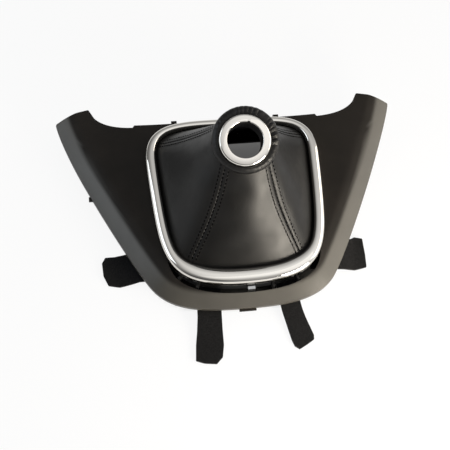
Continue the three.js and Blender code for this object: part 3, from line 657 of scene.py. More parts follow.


# Panel

# Distances from the rim at which the top is cut, closest where it curves and where the paler band, partly
# painted sheen, fades out
SHOULDER_MARKS = np.array([0, 0.35, 0.9, 1.9, 3.4, 5.4, 7.6, 9.4, 11, 12.2, 13.2, 14.2, 15.4, 17, 19,
                           20.6, 23])
MARKS_REACH = 0.85  # the share of a narrow stretch that the marks may take
BAND_AND_SHEEN_EDGE = (10.0, 14.2)  # where the paler band along the rim fades out; the band is partly its own finish and partly painted sheen, and its edge stands in for a crease's shading
UNDERSIDE_MARKS = (0.0, 0.35, 0.7, 1.0)
UNDERSIDE_INSET = 1.3  # in walls
NARROW_WALL = 0.3  # the wall's share of a narrow stretch


def console_panel():
    outer, place, skirt = panel_stations()
    inner = opening_point(place)
    length = np.linalg.norm(inner - outer, axis=1)
    toward = (inner - outer) / length[:, None]
    fit = np.minimum(1, MARKS_REACH * length / SHOULDER_MARKS[-1])
    marks = SHOULDER_MARKS[None] * fit[:, None]
    rest = np.linspace(0, 1, DECK_STEPS)[1:]
    marks = np.concatenate([marks, mix(marks[:, -1:], length[:, None], rest[None])], axis=1)
    wall = np.minimum(PANEL_WALL, NARROW_WALL * length)

    def placed(distance, height):
        return np.concatenate([outer + toward * distance[:, None], height[:, None]], axis=1)

    def on_top(distance, down=0.0):
        p = outer + toward * distance[:, None]
        return placed(distance, panel_top(p[:, 0], p[:, 1]) - down)

    section = [on_top(marks[:, k]) for k in range(marks.shape[1])]
    rim_height = section[0][:, 2]
    edge_height = section[-1][:, 2]
    section += [placed(x, edge_height - RETURN_DEPTH) for x in (length, length - wall)]
    section += [on_top(mix(length - wall, wall * UNDERSIDE_INSET, share), PANEL_WALL)
                for share in UNDERSIDE_MARKS]
    section += [placed(x, rim_height - skirt) for x in (wall, 0 * wall)]
    sections = np.stack(section, axis=1)
    pile = Pile()
    pile.add(sections, loop_faces(sections))
    panel_fittings(pile)
    points = pile.all_points()
    piece = new_piece("console_panel_moulding", points, pile.faces, PANEL_PLASTIC,
                      ["console_panel"], bevel=0.4)
    # mask of the paler band: partly its own finish, partly painted sheen
    band_and_painted_sheen = 1 - smooth(*BAND_AND_SHEEN_EDGE, distance_to_rim(points[:, 0], points[:, 1]))
    band_and_painted_sheen[sections.shape[0] * sections.shape[1]:] = 0
    point_value(piece.data, "finish_and_painted_sheen", band_and_painted_sheen)


def inside_rim(curve, share, inset):
    """A point inside a stretch of the rim, at a share of its length."""
    point = resample(curve, np.array([share]))[0]
    ahead = resample(curve, np.array([share + 1e-3]))[0]
    tangent = unit(ahead - point)
    return point + np.array([-tangent[1], tangent[0]]) * inset


# What is moulded on the panel's underside and edges; a size is across and along
BITE = 0.6
POST = inside_rim(rim_front(), share=0.717, inset=8.1)
POST_SIZE = (8, 6)
TOWERS = [inside_rim(rim_side(), share, inset=21.5) for share in (0.305, 0.556, 0.878)]
TOWER_SIZE = (10, 8)
TOWER_FOOT = 12.0
TONGUE_SIZE = (2.4, 7)
TONGUE_FOOT = 1.1
REAR_NUB_SIZE = (5, 4.2)
REAR_NUB_X = 46.0
REAR_NUB_OUT = 0.9
REAR_NUB_DROP = 0.5
REAR_NUB_HEIGHT = 2.5
FRONT_TAB_SIZE = (14, 4)
FRONT_TAB_PLACE = (0.5, PANEL_FRONT_Y + 0.5)
FRONT_TAB_HEIGHT = 1.6
SIDE_NUB = inside_rim(rim_side(), share=0.575, inset=-0.5)
SIDE_NUB_SIZE = (3.6, 4)
SIDE_NUB_HEIGHT = 2


def lowest_top(place, size):
    """A height inside the panel's wall over the whole of a rectangle."""
    corners = [(place[0] + i * size[0] / 2, place[1] + j * size[1] / 2) for i in (-1, 1) for j in (-1, 1)]
    xs, ys = np.array(corners).T
    return panel_top(xs, ys).min() - PANEL_WALL / 2


def panel_fittings(pile):
    """Posts, clip towers, nubs and tab, where the solid panel has them."""
    def pillar(x, y, size, low, high):
        width, depth = size
        pile.block(x - width / 2, x + width / 2, y - depth / 2, y + depth / 2, low, high)

    nub_top = float(panel_top(np.array([REAR_NUB_X]), np.array([REAR_EDGE_Y]))[0]) - REAR_NUB_DROP
    for side in (-1, 1):
        pillar(side * POST[0], POST[1], POST_SIZE, 0, lowest_top(POST, POST_SIZE))
        for x, y in TOWERS:
            pillar(side * x, y, TOWER_SIZE, TOWER_FOOT, lowest_top((x, y), TOWER_SIZE))
            pillar(side * x, y, TONGUE_SIZE, TONGUE_FOOT, TOWER_FOOT + BITE)
        pillar(side * REAR_NUB_X, REAR_EDGE_Y + REAR_NUB_OUT, REAR_NUB_SIZE,
               nub_top - REAR_NUB_HEIGHT, nub_top)
    lip = RIM_Z - RIM_SKIRT
    pillar(*FRONT_TAB_PLACE, FRONT_TAB_SIZE, lip - FRONT_TAB_HEIGHT, lip + BITE)
    x, y = SIDE_NUB
    low = lip + float(horn_lift(x, y)) + BITE
    pillar(-x, y, SIDE_NUB_SIZE, low, low + SIDE_NUB_HEIGHT)


# Bezel

# Shares of the bead's width and height, from the foot of its outer wall inward
BEAD_OUTSIDE = np.array([[0, 0.037], [0, 0.3], [0.01, 0.52], [0.08, 0.73], [0.22, 0.89], [0.42, 0.98],
                         [0.62, 1], [0.82, 0.95], [0.94, 0.82], [1, 0.62], [1, 0.44]])
BEAD_INSIDE = np.array([[0.73, 0.83], [0.46, 1], [0.27, 0.86]])  # heights are shares of the roof's


def bezel():
    s = np.arange(BEZEL_STEPS) * 2 / BEZEL_STEPS
    width = bead_width(s)[:, None]
    shell = spline(BEAD_OUTSIDE, np.linspace(0, 1, SHELL_POINTS))
    roof = BEAD_HEIGHT - BEAD_WALL
    across = np.concatenate([-shell[None, :, 0] * width, BEAD_WALL - width,
                             -BEAD_INSIDE[None, :, 0] * width, np.full((len(s), 2), -BEAD_WALL)], axis=1)
    up = np.concatenate([shell[:, 1] * BEAD_HEIGHT, [BEAD_LIP],
                         BEAD_INSIDE[:, 1] * roof, [BEAD_LIP, CLEAR]])
    ground = np.stack([bezel_point(s, across[:, k]) for k in range(across.shape[1])], axis=1)
    height = np.broadcast_to(DECK_Z + up[None, :, None], ground.shape[:2] + (1,))
    sections = np.concatenate([ground, height], axis=2)
    pile = Pile()
    pile.add(sections, loop_faces(sections))
    for x, y in bezel_point(np.array(SCREW_PLACES), -SCREW_INSET):
        pile.rod(x, y, DECK_Z + BOSS_FOOT, DECK_Z + BOSS_TOP, BOSS_RADIUS)
    new_piece("bezel_bead", pile.all_points(), pile.faces, CHROME, ["bezel"], bevel=0.2)


# Collar

def from_collar(x, y, h):
    c, s = math.cos(COLLAR_TILT), math.sin(COLLAR_TILT)
    return np.stack([x, c * y - s * h, s * y + c * h], axis=-1) + COLLAR


def turned(profile, steps=144):
    r, h = np.array(profile, float).T
    turn = np.arange(steps)[:, None] * 2 * math.pi / steps
    return from_collar(r[None] * np.cos(turn), r[None] * np.sin(turn), h[None] + 0 * turn)


def arc(cx, cy, rx, ry, start, end, count):
    turn = np.radians(np.linspace(start, end, count))
    return [(cx + rx * math.cos(a), cy + ry * math.sin(a)) for a in turn]


def collar_ring():
    """Chrome on the outside, bare black plastic down the bore."""
    spigot = RING_BORE + SPIGOT_WALL
    profile = [(RING_BORE, -SPIGOT_DEPTH), (RING_BORE, PLATING_START)]
    plated_from = len(profile) - 1
    profile += arc(RING_BORE + RING_LIP, RING_TOP - RING_LIP, RING_LIP, RING_LIP, 180, 90, 7)
    profile += arc(RING_OUTER - RING_CROWN, RING_TOP - RING_CROWN_DROP, RING_CROWN, RING_CROWN, 82, 0, 12)
    profile += arc(RING_OUTER - RING_FOOT[0], RING_UNDER + RING_FOOT[1], *RING_FOOT, 0, -90, 6)
    profile += [(spigot, RING_UNDER), (spigot, -SPIGOT_DEPTH)]
    bare_from = len(profile) - 2
    rings = turned(profile)
    piece = new_piece("collar_ring_chrome", rings, loop_faces(rings), CHROME, ["collar_ring"])
    piece.data.materials.append(INNER_PLASTIC)
    bare = 1
    for index, face in enumerate(piece.data.polygons):
        row = index % len(profile)
        if row < plated_from or row >= bare_from:
            face.material_index = bare
    cut = Pile()
    inward, above = NOTCH_OVERCUT
    cut.block(-NOTCH_WIDTH / 2, NOTCH_WIDTH / 2, RING_BORE - inward, RING_BORE + NOTCH_DEPTH,
              0, RING_TOP + above)
    turn = math.radians(NOTCH_ANGLE - 90)
    points = cut.all_points()
    x = points[:, 0] * math.cos(turn) - points[:, 1] * math.sin(turn)
    y = points[:, 0] * math.sin(turn) + points[:, 1] * math.cos(turn)
    cut_out(piece, from_collar(x, y, points[:, 2]), cut.faces)
    # the notch goes through the plating, so its walls are bare
    angle = math.radians(NOTCH_ANGLE)
    middle = from_collar(RING_BORE * math.cos(angle), RING_BORE * math.sin(angle), RING_TOP / 2)
    middle = Vector((middle + SHIFT) * MM)
    for face in piece.data.polygons:
        if (face.center - middle).length < NOTCH_BLACK * MM:
            face.material_index = bare


SHARP_FROM = math.radians(35)


def cut_out(piece, points, faces):
    """Takes a closed block out of a piece and keeps the cut's edges sharp."""
    mesh = bpy.data.meshes.new("cutter")
    mesh.from_pydata((points + SHIFT) * MM, [], faces)
    cutter = bpy.data.objects.new("cutter", mesh)
    bpy.context.scene.collection.objects.link(cutter)
    modifier = piece.modifiers.new("notch", "BOOLEAN")
    modifier.object = cutter
    modifier.operation = "DIFFERENCE"
    modifier.solver = "EXACT"
    depsgraph = bpy.context.evaluated_depsgraph_get()
    result = bpy.data.meshes.new_from_object(piece.evaluated_get(depsgraph))
    piece.modifiers.clear()
    result.set_sharp_from_angle(angle=SHARP_FROM)
    piece.data = result
    bpy.data.objects.remove(cutter)


def collar_sleeve():
    step = -SPIGOT_DEPTH - CLEAR
    top = RING_UNDER - CLEAR
    rings = turned([(SLEEVE_BORE, top), (SLEEVE_OUTER, top), (SLEEVE_OUTER, -SLEEVE_DEPTH),
                    (RING_BORE, -SLEEVE_DEPTH), (RING_BORE, step), (SLEEVE_BORE, step)])
    new_piece("collar_sleeve_moulding", rings, loop_faces(rings), INNER_PLASTIC,
              ["collar_sleeve"], bevel=0.25)


# Leather

def collar_angle(s):
    """The angle round the collar that belongs to a place round the bezel."""
    t = half_place(s)
    left = (s > 1) | (s < 0)
    front = np.where(left, FRONT_SEAM_LEFT, FRONT_SEAM_RIGHT)
    ahead = mix(-90, front, t / FRONT_SEAM)
    beside = mix(front, REAR_SEAM_ANGLE, (t - FRONT_SEAM) / (REAR_SEAM - FRONT_SEAM))
    behind = mix(REAR_SEAM_ANGLE, 90, (t - REAR_SEAM) / (1 - REAR_SEAM))
    degrees = np.where(t < FRONT_SEAM, ahead, np.where(t < REAR_SEAM, beside, behind))
    return np.radians(np.where(left, 180 - degrees, degrees))


# [radius, height, how much the pleats show, how much the roll is shifted]
ROLL_PROFILE = np.array([
    [NECK, NECK_HEIGHT, 0.1, 0],
    [NECK + 1.6, -11.8, 0.1, 0.3],
    [ROLL_RADIUS - 0.9, -9.4, 0.12, 0.8],
    [ROLL_RADIUS, -6.2, 0.1, 1],
    [ROLL_RADIUS - 0.8, -3.3, 0.4, 1],
    [ROLL_RADIUS - 3.4, -1.4, 1, 0.8],
    [RING_OUTER + 0.9, -1.6, 1.1, 0.2],
    [SLEEVE_OUTER + CLEAR + 0.9, RING_UNDER - CLEAR, 0, 0],
])


def spline(points, t):
    """Catmull-Rom curve through points at places t from 0 to 1."""
    points = np.concatenate([2 * points[:1] - points[1:2], points, 2 * points[-1:] - points[-2:-1]])
    x = np.clip(np.asarray(t) * (len(points) - 3), 0, len(points) - 3 - 1e-9)
    k = x.astype(int)
    f = (x - k)[:, None]
    p0, p1, p2, p3 = points[k], points[k + 1], points[k + 2], points[k + 3]
    return 0.5 * (2 * p1 + (p2 - p0) * f + (2 * p0 - 5 * p1 + 4 * p2 - p3) * f ** 2
                  + (3 * p1 - p0 - 3 * p2 + p3) * f ** 3)


def pleat_wave(angle):
    """Uneven gathers round the collar: narrow valleys between round crowns, shallow at the front left."""
    wander = 0.5 * np.sin(3 * angle + 1) + 0.45 * np.sin(7 * angle + 2.2) + 0.3 * np.sin(11 * angle)
    depth = 0.7 + 0.3 * np.sin(5 * angle + 0.7) + 0.25 * np.sin(9 * angle + 4)
    place = 0.45 + 0.55 * np.cos(angle - 0.75)
    return depth * np.clip(place, 0.18, 1) * (np.abs(np.sin(0.5 * PLEATS * angle + wander)) ** 0.6 - 0.6)


def deep_folds(angle):
    """The few deep folds at the roll's right."""
    return -DEEP_FOLD_DEPTH * sum(np.exp(-((angle - place) / DEEP_FOLD_WIDTH) ** 2) for place in DEEP_FOLDS)


def leather_surface(s, row, t):
    """Outside of the leather: row 0-1 hem, 1-2 side, 2-3 roll; s round the bezel; t between the seams."""
    s, row, t = np.broadcast_arrays(s, row, t)
    angle = collar_angle(s)
    inset = bead_width(s) + HEM_SHOW
    level = np.full(s.shape + (1,), DECK_Z + HEM_TOP)
    foot = np.concatenate([bezel_point(s, -inset), level], axis=-1)
    start = np.concatenate([bezel_point(s, HEM_WIDTH - inset), level], axis=-1)
    neck = from_collar(NECK * np.cos(angle), NECK * np.sin(angle), np.full(s.shape, NECK_HEIGHT))
    bend = mix(foot, neck, np.array([FLARE_ACROSS, FLARE_ACROSS, FLARE_UP]))
    v = np.clip(row - 1, 0, 1)[..., None]
    side = (1 - v) ** 2 * foot + 2 * (1 - v) * v * bend + v ** 2 * neck
    outward = unit((foot - neck) * (1, 1, 0))
    swell = (PANEL_PUFF * np.sin(math.pi * np.clip(t, 0, 1))[..., None]
             * np.sin(math.pi * np.minimum(1, v * PUFF_END)))
    side = side + outward * swell * PUFF_OUT + swell * np.array([0, 0, PUFF_UP])
    w = np.clip(row - 2, 0, 1)
    radius, height, pleated, shifted = spline(ROLL_PROFILE, w.ravel()).T.reshape((4,) + w.shape)
    fold = pleated * (PLEAT_DEPTH * pleat_wave(angle) + deep_folds(angle))
    roll = from_collar((radius + fold) * np.cos(angle) + ROLL_SHIFT[0] * shifted,
                       (radius + fold) * np.sin(angle) + ROLL_SHIFT[1] * shifted, height + PLEAT_UP * fold)
    hem = mix(start, foot, np.clip(row, 0, 1)[..., None])
    row = row[..., None]
    return np.where(row < 1, hem, np.where(row < 2, side, roll))


GROOVE_DEPTH = 0.2
GROOVE_WIDTH = 0.45
RIDGE_HEIGHT = 0.3
RIDGE_RISES = (0.2, 1.5)
RIDGE_FALLS = (STITCH_OFFSET - 0.4, STITCH_OFFSET + 2.0)
PULL_DEPTH = 0.28
PULL_WIDTH = 0.4
PUCKER_HEIGHT = 0.07
PUCKER_RISES = (0.3, 1.4)
PUCKER_FALLS = (STITCH_OFFSET, STITCH_OFFSET + 1.6)
RELIEF_ROWS = (1.0, 1.06, 2.0, 2.25)  # where the relief fades in and out
CRUMPLE_HEIGHT = 0.5
CRUMPLE_ROWS = (1.05, 1.35, 1.85, 2.0)


def between(rise_from, rise_to, fall_from, fall_to, x):
    """0 outside, 1 in the middle of a stretch."""
    return smooth(rise_from, rise_to, x) * (1 - smooth(fall_from, fall_to, x))


def seam_relief(distance, row):
    """Height of the leather near a seam: groove, padded ridge beside it, sunk topstitch, puckers."""
    groove = -GROOVE_DEPTH * np.exp(-(distance / GROOVE_WIDTH) ** 2)
    ridge = RIDGE_HEIGHT * between(*RIDGE_RISES, *RIDGE_FALLS, distance)
    pull = -PULL_DEPTH * np.exp(-((distance - STITCH_OFFSET) / PULL_WIDTH) ** 2)
    wave = np.sin(2 * math.pi * (row - 1) * SIDE_LENGTH / STITCH_STEP)
    pucker = PUCKER_HEIGHT * wave * between(*PUCKER_RISES, *PUCKER_FALLS, distance)
    return between(*RELIEF_ROWS, row) * (groove + ridge + pull + pucker)


def crumple(point, t, row):
    """Low soft waves of the leather, gone at the seams, the hem and the roll."""
    x, y, z = point[..., 0], point[..., 1], point[..., 2]
    waves = (np.sin(x / 9.0 + 1.3 * np.sin(z / 14.0)) * np.sin(z / 11.0 + y / 23.0)
             + 0.6 * np.sin(y / 6.5 + z / 9.0 + 1.0) * np.sin(x / 13.0 - z / 17.0))
    return CRUMPLE_HEIGHT * waves * between(*CRUMPLE_ROWS, row) * np.sin(math.pi * t)


def bowed(s, row):
    """Where a seam runs: the front ones bend a little towards the middle of the front panel."""
    towards_middle = {-FRONT_SEAM: 1, FRONT_SEAM: -1, 2 - FRONT_SEAM: 1}.get(s, 0)
    share = np.clip(row - 1, 0, 1)
    return s + SEAM_BOW * towards_middle * np.sin(math.pi * share ** 1.5)


# Distances from a seam at which the leather is cut
SEAM_MARKS = np.array([0, 0.2, 0.45, 0.8, 1.2, 1.7, 2.3, 2.9, 3.4, 3.7, 3.95, 4.2, 4.45, 4.7, 5.1, 5.7,
                       6.5, 7.5])


def leather_grid(s0, s1, middle):
    """Front and back of a panel between two seams, with its normals and the way across it."""
    rows = np.concatenate([np.linspace(0, 1, HEM_ROWS + 1)[:-1], np.linspace(1, 2, SIDE_ROWS),
                           np.linspace(2, 3, ROLL_ROWS)[1:]])
    probe = np.linspace(0, 1, WIDTH_PROBES)
    line_points = leather_surface(mix(bowed(s0, rows[:, None]), bowed(s1, rows[:, None]), probe[None]),
                                  rows[:, None], probe[None])
    width = np.linalg.norm(np.diff(line_points, axis=1), axis=-1).sum(1)
    edge = SEAM_MARKS[None] / width[:, None]
    centre = mix(edge[:, -1:], 1 - edge[:, -1:], np.linspace(0, 1, middle)[None, 1:-1])
    t = np.concatenate([edge, centre, 1 - edge[:, ::-1]], axis=1)
    row = rows[:, None] + 0 * t
    s = mix(bowed(s0, row), bowed(s1, row), t)
    base = leather_surface(s, row, t)
    step = 0.003
    across = unit(leather_surface(s + step, row, t) - leather_surface(s - step, row, t))
    down = np.gradient(base, axis=0)
    normal = unit(np.cross(across, unit(down)))
    normal[:HEM_ROWS] = (0, 0, 1)
    distance = np.minimum(t, 1 - t) * width[:, None]
    relief = seam_relief(distance, row) + crumple(base, t, row)
    front = base + normal * relief[..., None]
    gap = np.where(t < 1e-6, 1, np.where(t > 1 - 1e-6, -1, 0)) * SEAM_GAP / 2
    front = front + across * gap[..., None]
    back = base + across * gap[..., None] - normal * LEATHER
    return front, back, normal, across


# From seam, to seam, columns between them
LEATHER_PANELS = {
    "leather_front_panel": (-FRONT_SEAM, FRONT_SEAM, 90),
    "leather_right_panel": (FRONT_SEAM, REAR_SEAM, 80),
    "leather_rear_panel": (REAR_SEAM, 2 - REAR_SEAM, 100),
    "leather_left_panel": (2 - REAR_SEAM, 2 - FRONT_SEAM, 80),
}


def leather_boot():
    for name, (s0, s1, middle) in LEATHER_PANELS.items():
        front, back, normal, across = leather_grid(s0, s1, middle)
        points = np.stack([front, back])
        new_piece(name + "_skin", points, sheet_faces(*front.shape[:2]), LEATHER_SKIN, [name])
        mark = list(SEAM_MARKS).index(STITCH_OFFSET)
        last = front.shape[1] - 1
        topstitch(f"{name}_stitches_a", front[:, mark], normal[:, mark])
        topstitch(f"{name}_stitches_b", front[:, last - mark], normal[:, last - mark])
        topstitch(f"{name}_seam_thread", front[:, last] + across[:, last] * SEAM_GAP / 2, normal[:, last])


def topstitch(name, track, normals):
    """A row of stitches along a column of the leather."""
    sewn = slice(HEM_ROWS + 2, HEM_ROWS + SIDE_ROWS + 2)
    track, normals = track[sewn], normals[sewn]
    length = np.linalg.norm(np.diff(track, axis=0), axis=1).sum()
    arch = np.sin(np.linspace(0, math.pi, STITCH_POINTS))[:, None]
    thick = THREAD_RADIUS * mix(THREAD_END, 1, arch)
    turn = np.arange(STITCH_SIDES) * 2 * math.pi / STITCH_SIDES
    count = STITCH_POINTS * STITCH_SIDES
    ends = [tuple(range(STITCH_SIDES)), tuple(range(count - STITCH_SIDES, count))[::-1]]
    faces = grid_faces(STITCH_POINTS, STITCH_SIDES, close_cols=True) + ends
    pile = Pile()
    for place in np.arange(STITCH_STEP / 2, length - STITCH_LENGTH, STITCH_STEP):
        share = (place + np.linspace(0, STITCH_LENGTH, STITCH_POINTS)) / length
        up = unit(resample(np.concatenate([track, normals], axis=1), share)[:, 3:])
        spine = resample(track, share) + up * (arch * STITCH_ARCH - STITCH_SINK)
        side = unit(np.cross(np.gradient(spine, axis=0), up))
        tube = spine[:, None] + thick[:, None] * (np.cos(turn)[None, :, None] * side[:, None]
                                                  + np.sin(turn)[None, :, None] * up[:, None])
        pile.add(tube, faces)
    new_piece(name, pile.all_points(), pile.faces, THREAD)


# Straps: [left edge, right edge, heights of the top], from the frame outward

STRAPS = {
    "strap_left": (
        [(-60, -11), (-74, -10.5), (-86, -10), (-96, -10), (-106, -10.6), (-114, -10.4), (-117, -15.5)],
        [(-54, -38), (-72, -38), (-86, -37), (-94, -37.8), (-103, -38.6), (-112.4, -36.2), (-116.2, -27)],
        [UNDER_FRAME, 9.6, 7.2, 4.6, 2.6, ON_TABLE, ON_TABLE]),
    "strap_right": (
        [(57, -40), (72, -40), (86, -40), (97, -40.6), (107.7, -38.2), (108.5, -27)],
        [(63, -12), (74, -12), (88, -12), (98, -11.5), (102, -9.5), (108.7, -11.5)],
        [UNDER_FRAME, 9.4, 6.8, 3.4, ON_TABLE, ON_TABLE]),
    "strap_front_left": (
        [(-40, -40), (-40.2, -55), (-41, -72), (-42.5, -84), (-44.3, -94.5), (-45.5, -107.8),
         (-38.5, -110.5)],
        [(-20, -44), (-20.2, -56), (-21, -72), (-21.4, -84), (-21.6, -96.5), (-23.5, -106.5),
         (-28.9, -111.8)],
        [UNDER_FRAME, 9.6, 6.2, 3.4, ON_TABLE, ON_TABLE, ON_TABLE]),
    "strap_front_right": (
        [(26, -44), (27, -56), (29.3, -72), (31, -80), (34.3, -97.4), (36, -102.7), (39.7, -105.6)],
        [(43, -38), (43.5, -54), (46, -70), (48, -78.6), (53, -94.8), (52.6, -98.4), (46, -102.4)],
        [UNDER_FRAME, 9.6, 5.4, 3.6, ON_TABLE, ON_TABLE, ON_TABLE]),
}


def strap(name):
    left, right, heights = (np.array(v, float) for v in STRAPS[name])
    share = np.linspace(0, 1, len(heights))
    fine = np.linspace(0, 1, STRAP_ROWS)
    across = np.linspace(0, 1, STRAP_COLS)[None, :, None]
    left, right = (np.stack([np.interp(fine, share, edge[:, k]) for k in (0, 1)], axis=1)
                   for edge in (left, right))
    z = spline(heights[:, None], fine)[:, 0]
    flat = mix(left[:, None], right[:, None], across)
    top = np.concatenate([flat, np.broadcast_to(z[:, None, None], flat.shape[:2] + (1,))], axis=2)
    top[..., 2] += STRAP_RIPPLE * np.sin(top[..., 0] * 0.9 + 3) * np.sin(top[..., 1] * 0.8)
    under = top.copy()
    under[..., 2] = np.maximum(z[:, None] - STRAP_THICK, ABOVE_TABLE)
    piece = new_piece(name + "_tape", np.stack([top, under]), sheet_faces(STRAP_ROWS, STRAP_COLS),
                      FELT, [name], bevel=0.35)


# Camera, light and floor

PHOTO_MM_PER_PIXEL = 0.84
PHOTO_PIXELS = 450
SENSOR_WIDTH = 36
CAMERA_DISTANCE = 700.0
CAMERA_ELEVATION = math.radians(63)
CAMERA_YAW = math.radians(11.07)
CAMERA_ROLL = math.radians(-5.53)
CAMERA_TARGET = np.array([-11.49, 0.0, 26.0])

# Place, aim and size in metres, power in watts, colour
AIM = (0.02, 0.0, 0.04)
LAMPS = {
    "key_right": ((0.78, 0.1, 0.33), AIM, (0.8, 0.5), 2.7, (1, 0.91, 0.78)),
    "front_right": ((0.27, -0.32, 0.13), (0.06, -0.09, 0.02), (0.24, 0.14), 3.3, (1, 0.92, 0.79)),
    "fill_left": ((-0.68, 0.15, 0.46), (-0.08, 0.0, 0.02), (0.6, 0.5), 1.8, (0.84, 0.92, 1)),
    "top_front": ((0.42, -0.52, 0.95), AIM, (1.3, 1.3), 1.2, (1, 0.98, 0.95)),
}

# Fades: from a place to a place, from a value to a value. The room's go by direction.
ROOM_REAR = (0.1, 0.8, 1, 0.4)
ROOM_NEAR = (-0.8, -0.1, 0.2, 1)
ROOM_LEFT = (-0.7, 0.15, 0.28, 1)
ROOM_HORIZON = (0.05, 0.35, 0.8, 0)
ROOM_LIGHT = 0.6

# The floor, in metres. Its fine stretch lies beneath the part: from, to and points
FLOOR_TONE = 0.9
FLOOR_DROP = 0.0005
FLOOR_REACH = 3.0
FLOOR_FINE_X = (-0.16, 0.16, 81)
FLOOR_FINE_Y = (-0.12, 0.14, 66)
FLOOR_MIRRORED = (-0.5, 0.15, 0.35, 1)
# painted shade: the floor's tone beneath the panel, dark in front and paler behind
SHADED_TONE = (-0.03, 0.03, 0.02, 0.4)

# The shade painted on the floor under the panel, in millimetres, from and to
SHADE_EDGE = (3, 11)
SHADE_END = (108, 118)
SHADE_THINS = (20, 60)
SHADE_THINNED = 0.09
PANEL_MIDDLE = (0, 60)


def camera():
    e, yaw, roll = CAMERA_ELEVATION, CAMERA_YAW, CAMERA_ROLL
    back = np.array([-math.sin(yaw) * math.cos(e), -math.cos(yaw) * math.cos(e), math.sin(e)])
    right = np.array([math.cos(yaw), -math.sin(yaw), 0])
    up = np.cross(back, right)
    turned_right = math.cos(roll) * right - math.sin(roll) * up
    turned_up = math.sin(roll) * right + math.cos(roll) * up
    data = bpy.data.cameras.new("camera")
    data.sensor_width = SENSOR_WIDTH
    data.lens = SENSOR_WIDTH * CAMERA_DISTANCE / PHOTO_MM_PER_PIXEL / PHOTO_PIXELS
    data.clip_start = 0.01
    holder = bpy.data.objects.new("camera", data)
    bpy.context.scene.collection.objects.link(holder)
    place = (CAMERA_TARGET + back * CAMERA_DISTANCE + SHIFT) * MM
    axes = Matrix(np.stack([turned_right, turned_up, back], axis=1).tolist()).to_4x4()
    holder.matrix_world = Matrix.Translation(Vector(place)) @ axes
    bpy.context.scene.camera = holder


def soft_light(name, place, target, size, power, color):
    data = bpy.data.lights.new(name, "AREA")
    data.shape = "RECTANGLE"
    data.size, data.size_y = size
    data.energy = power
    data.color = color
    lamp = bpy.data.objects.new(name, data)
    lamp.location = place
    lamp.rotation_euler = (Vector(target) - Vector(place)).to_track_quat("-Z", "Y").to_euler()
    bpy.context.scene.collection.objects.link(lamp)


def place_in(tree, kind):
    """X, Y and Z of a place (Object) or a direction (Generated)."""
    split = tree.nodes.new("ShaderNodeSeparateXYZ")
    tree.links.new(tree.nodes.new("ShaderNodeTexCoord").outputs[kind], split.inputs[0])
    return split.outputs


def rays(tree, *kinds):
    path = tree.nodes.new("ShaderNodeLightPath")
    return [path.outputs[f"Is {kind} Ray"] for kind in kinds]


def world():
    """A white room, darker at the rear, on the left and at the near side, with a pale horizon."""
    studio_world = bpy.data.worlds.new("studio")
    studio_world.use_nodes = True
    tree = studio_world.node_tree
    background = tree.nodes["Background"]
    way = place_in(tree, "Generated")
    room = product(tree, map_node(tree, way["Y"], *ROOM_REAR), map_node(tree, way["Y"], *ROOM_NEAR),
                   map_node(tree, way["X"], *ROOM_LEFT))
    color = largest(tree, room, map_node(tree, way["Z"], *ROOM_HORIZON))
    tree.links.new(color, background.inputs["Color"])
    # full strength where the room is seen or mirrored, less for the light that falls on the object
    seen = largest(tree, *rays(tree, "Camera", "Glossy", "Transmission"))
    tree.links.new(map_node(tree, seen, 0, 1, ROOM_LIGHT, 1), background.inputs["Strength"])
    bpy.context.scene.world = studio_world


def painted_shade_under_panel(x, y):
    """Painted shade on the floor under the panel: 1 beneath it, 0 outside its rim and behind it, thinner
    towards the rear.
    """
    x = np.abs(x)
    apart = np.stack([x[:, None] - RIM[None, :, 0], y[:, None] - RIM[None, :, 1]], axis=-1)
    distance = np.linalg.norm(apart, axis=-1)
    nearest = distance.argmin(axis=1)
    inward = np.array(PANEL_MIDDLE) - RIM[nearest]
    inside = (apart[np.arange(len(x)), nearest] * inward).sum(1) > 0
    painted_shade = np.where(inside, smooth(*SHADE_EDGE, distance.min(axis=1)), 0)
    return painted_shade * (1 - smooth(*SHADE_END, y)) * (1 - SHADE_THINNED * smooth(*SHADE_THINS, y))


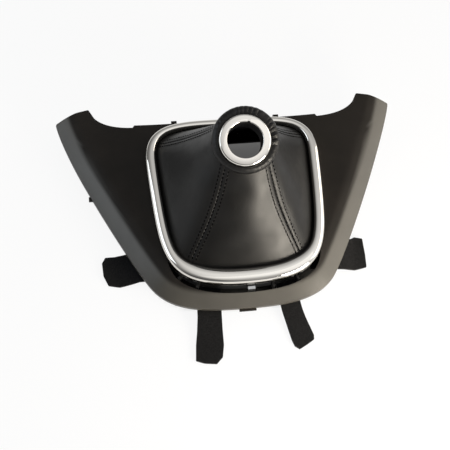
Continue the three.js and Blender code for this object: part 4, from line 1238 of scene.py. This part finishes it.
def floor():
    """A pale floor that glows where it is seen, with the panel's shade painted on it beneath the panel."""
    mesh = bpy.data.meshes.new("floor")
    xs, ys = (np.r_[-FLOOR_REACH, np.linspace(*fine), FLOOR_REACH] for fine in (FLOOR_FINE_X, FLOOR_FINE_Y))
    x, y = (v.ravel() for v in np.meshgrid(xs, ys))
    mesh.from_pydata(np.stack([x, y, 0 * x], axis=-1).tolist(), [], grid_faces(len(ys), len(xs)))
    # the panel's shade painted on the floor, kept as a point value
    point_value(mesh, "painted_shade", painted_shade_under_panel(x / MM, y / MM - SHIFT[1]))
    ground = bpy.data.objects.new("floor", mesh)
    ground.location.z = -FLOOR_DROP
    bpy.context.scene.collection.objects.link(ground)
    material, tree, shader = new_material("pale_floor", (FLOOR_TONE,) * 3, 0.9, specular=0.1)
    place = place_in(tree, "Object")
    painted_shade = tree.nodes.new("ShaderNodeAttribute")
    painted_shade.attribute_name = "painted_shade"
    unshaded_floor = math_node(tree, "SUBTRACT", 1.0, painted_shade.outputs["Fac"])
    # painted shade: the floor beneath the panel is darkest in front
    tone = largest(tree, product(tree, unshaded_floor, FLOOR_TONE), map_node(tree, place["Y"], *SHADED_TONE))
    tree.links.new(tone, shader.inputs["Base Color"])
    # reflections show the floor whiter towards the bright side of the room
    camera_ray, glossy_ray, transmission_ray = rays(tree, "Camera", "Glossy", "Transmission")
    mirrored = product(tree, largest(tree, glossy_ray, transmission_ray),
                       map_node(tree, place["X"], *FLOOR_MIRRORED))
    share = product(tree, largest(tree, camera_ray, mirrored), unshaded_floor, FLOOR_TONE)
    blend_shader = tree.nodes.new("ShaderNodeMixShader")
    tree.links.new(share, blend_shader.inputs["Fac"])
    tree.links.new(shader.outputs[0], blend_shader.inputs[1])
    tree.links.new(tree.nodes.new("ShaderNodeEmission").outputs[0], blend_shader.inputs[2])
    tree.links.new(blend_shader.outputs[0], tree.nodes["Material Output"].inputs["Surface"])
    mesh.materials.append(material)


def carried_over(node, material):
    body = frame["nodes"][node]
    body.data.materials.clear()
    body.data.materials.append(material)


console_panel()
bezel()
collar_ring()
collar_sleeve()
leather_boot()
for strap_name in STRAPS:
    strap(strap_name)
for node_name in frame["nodes"]:
    if "clip" in node_name or "screw" in node_name or "clamp" in node_name:
        carried_over(node_name, STEEL)
carried_over("gaiter_frame", INNER_PLASTIC)
camera()
world()
floor()
for lamp_name, values in LAMPS.items():
    soft_light(lamp_name, *values)

bpy.context.scene.view_settings.view_transform = "Standard"
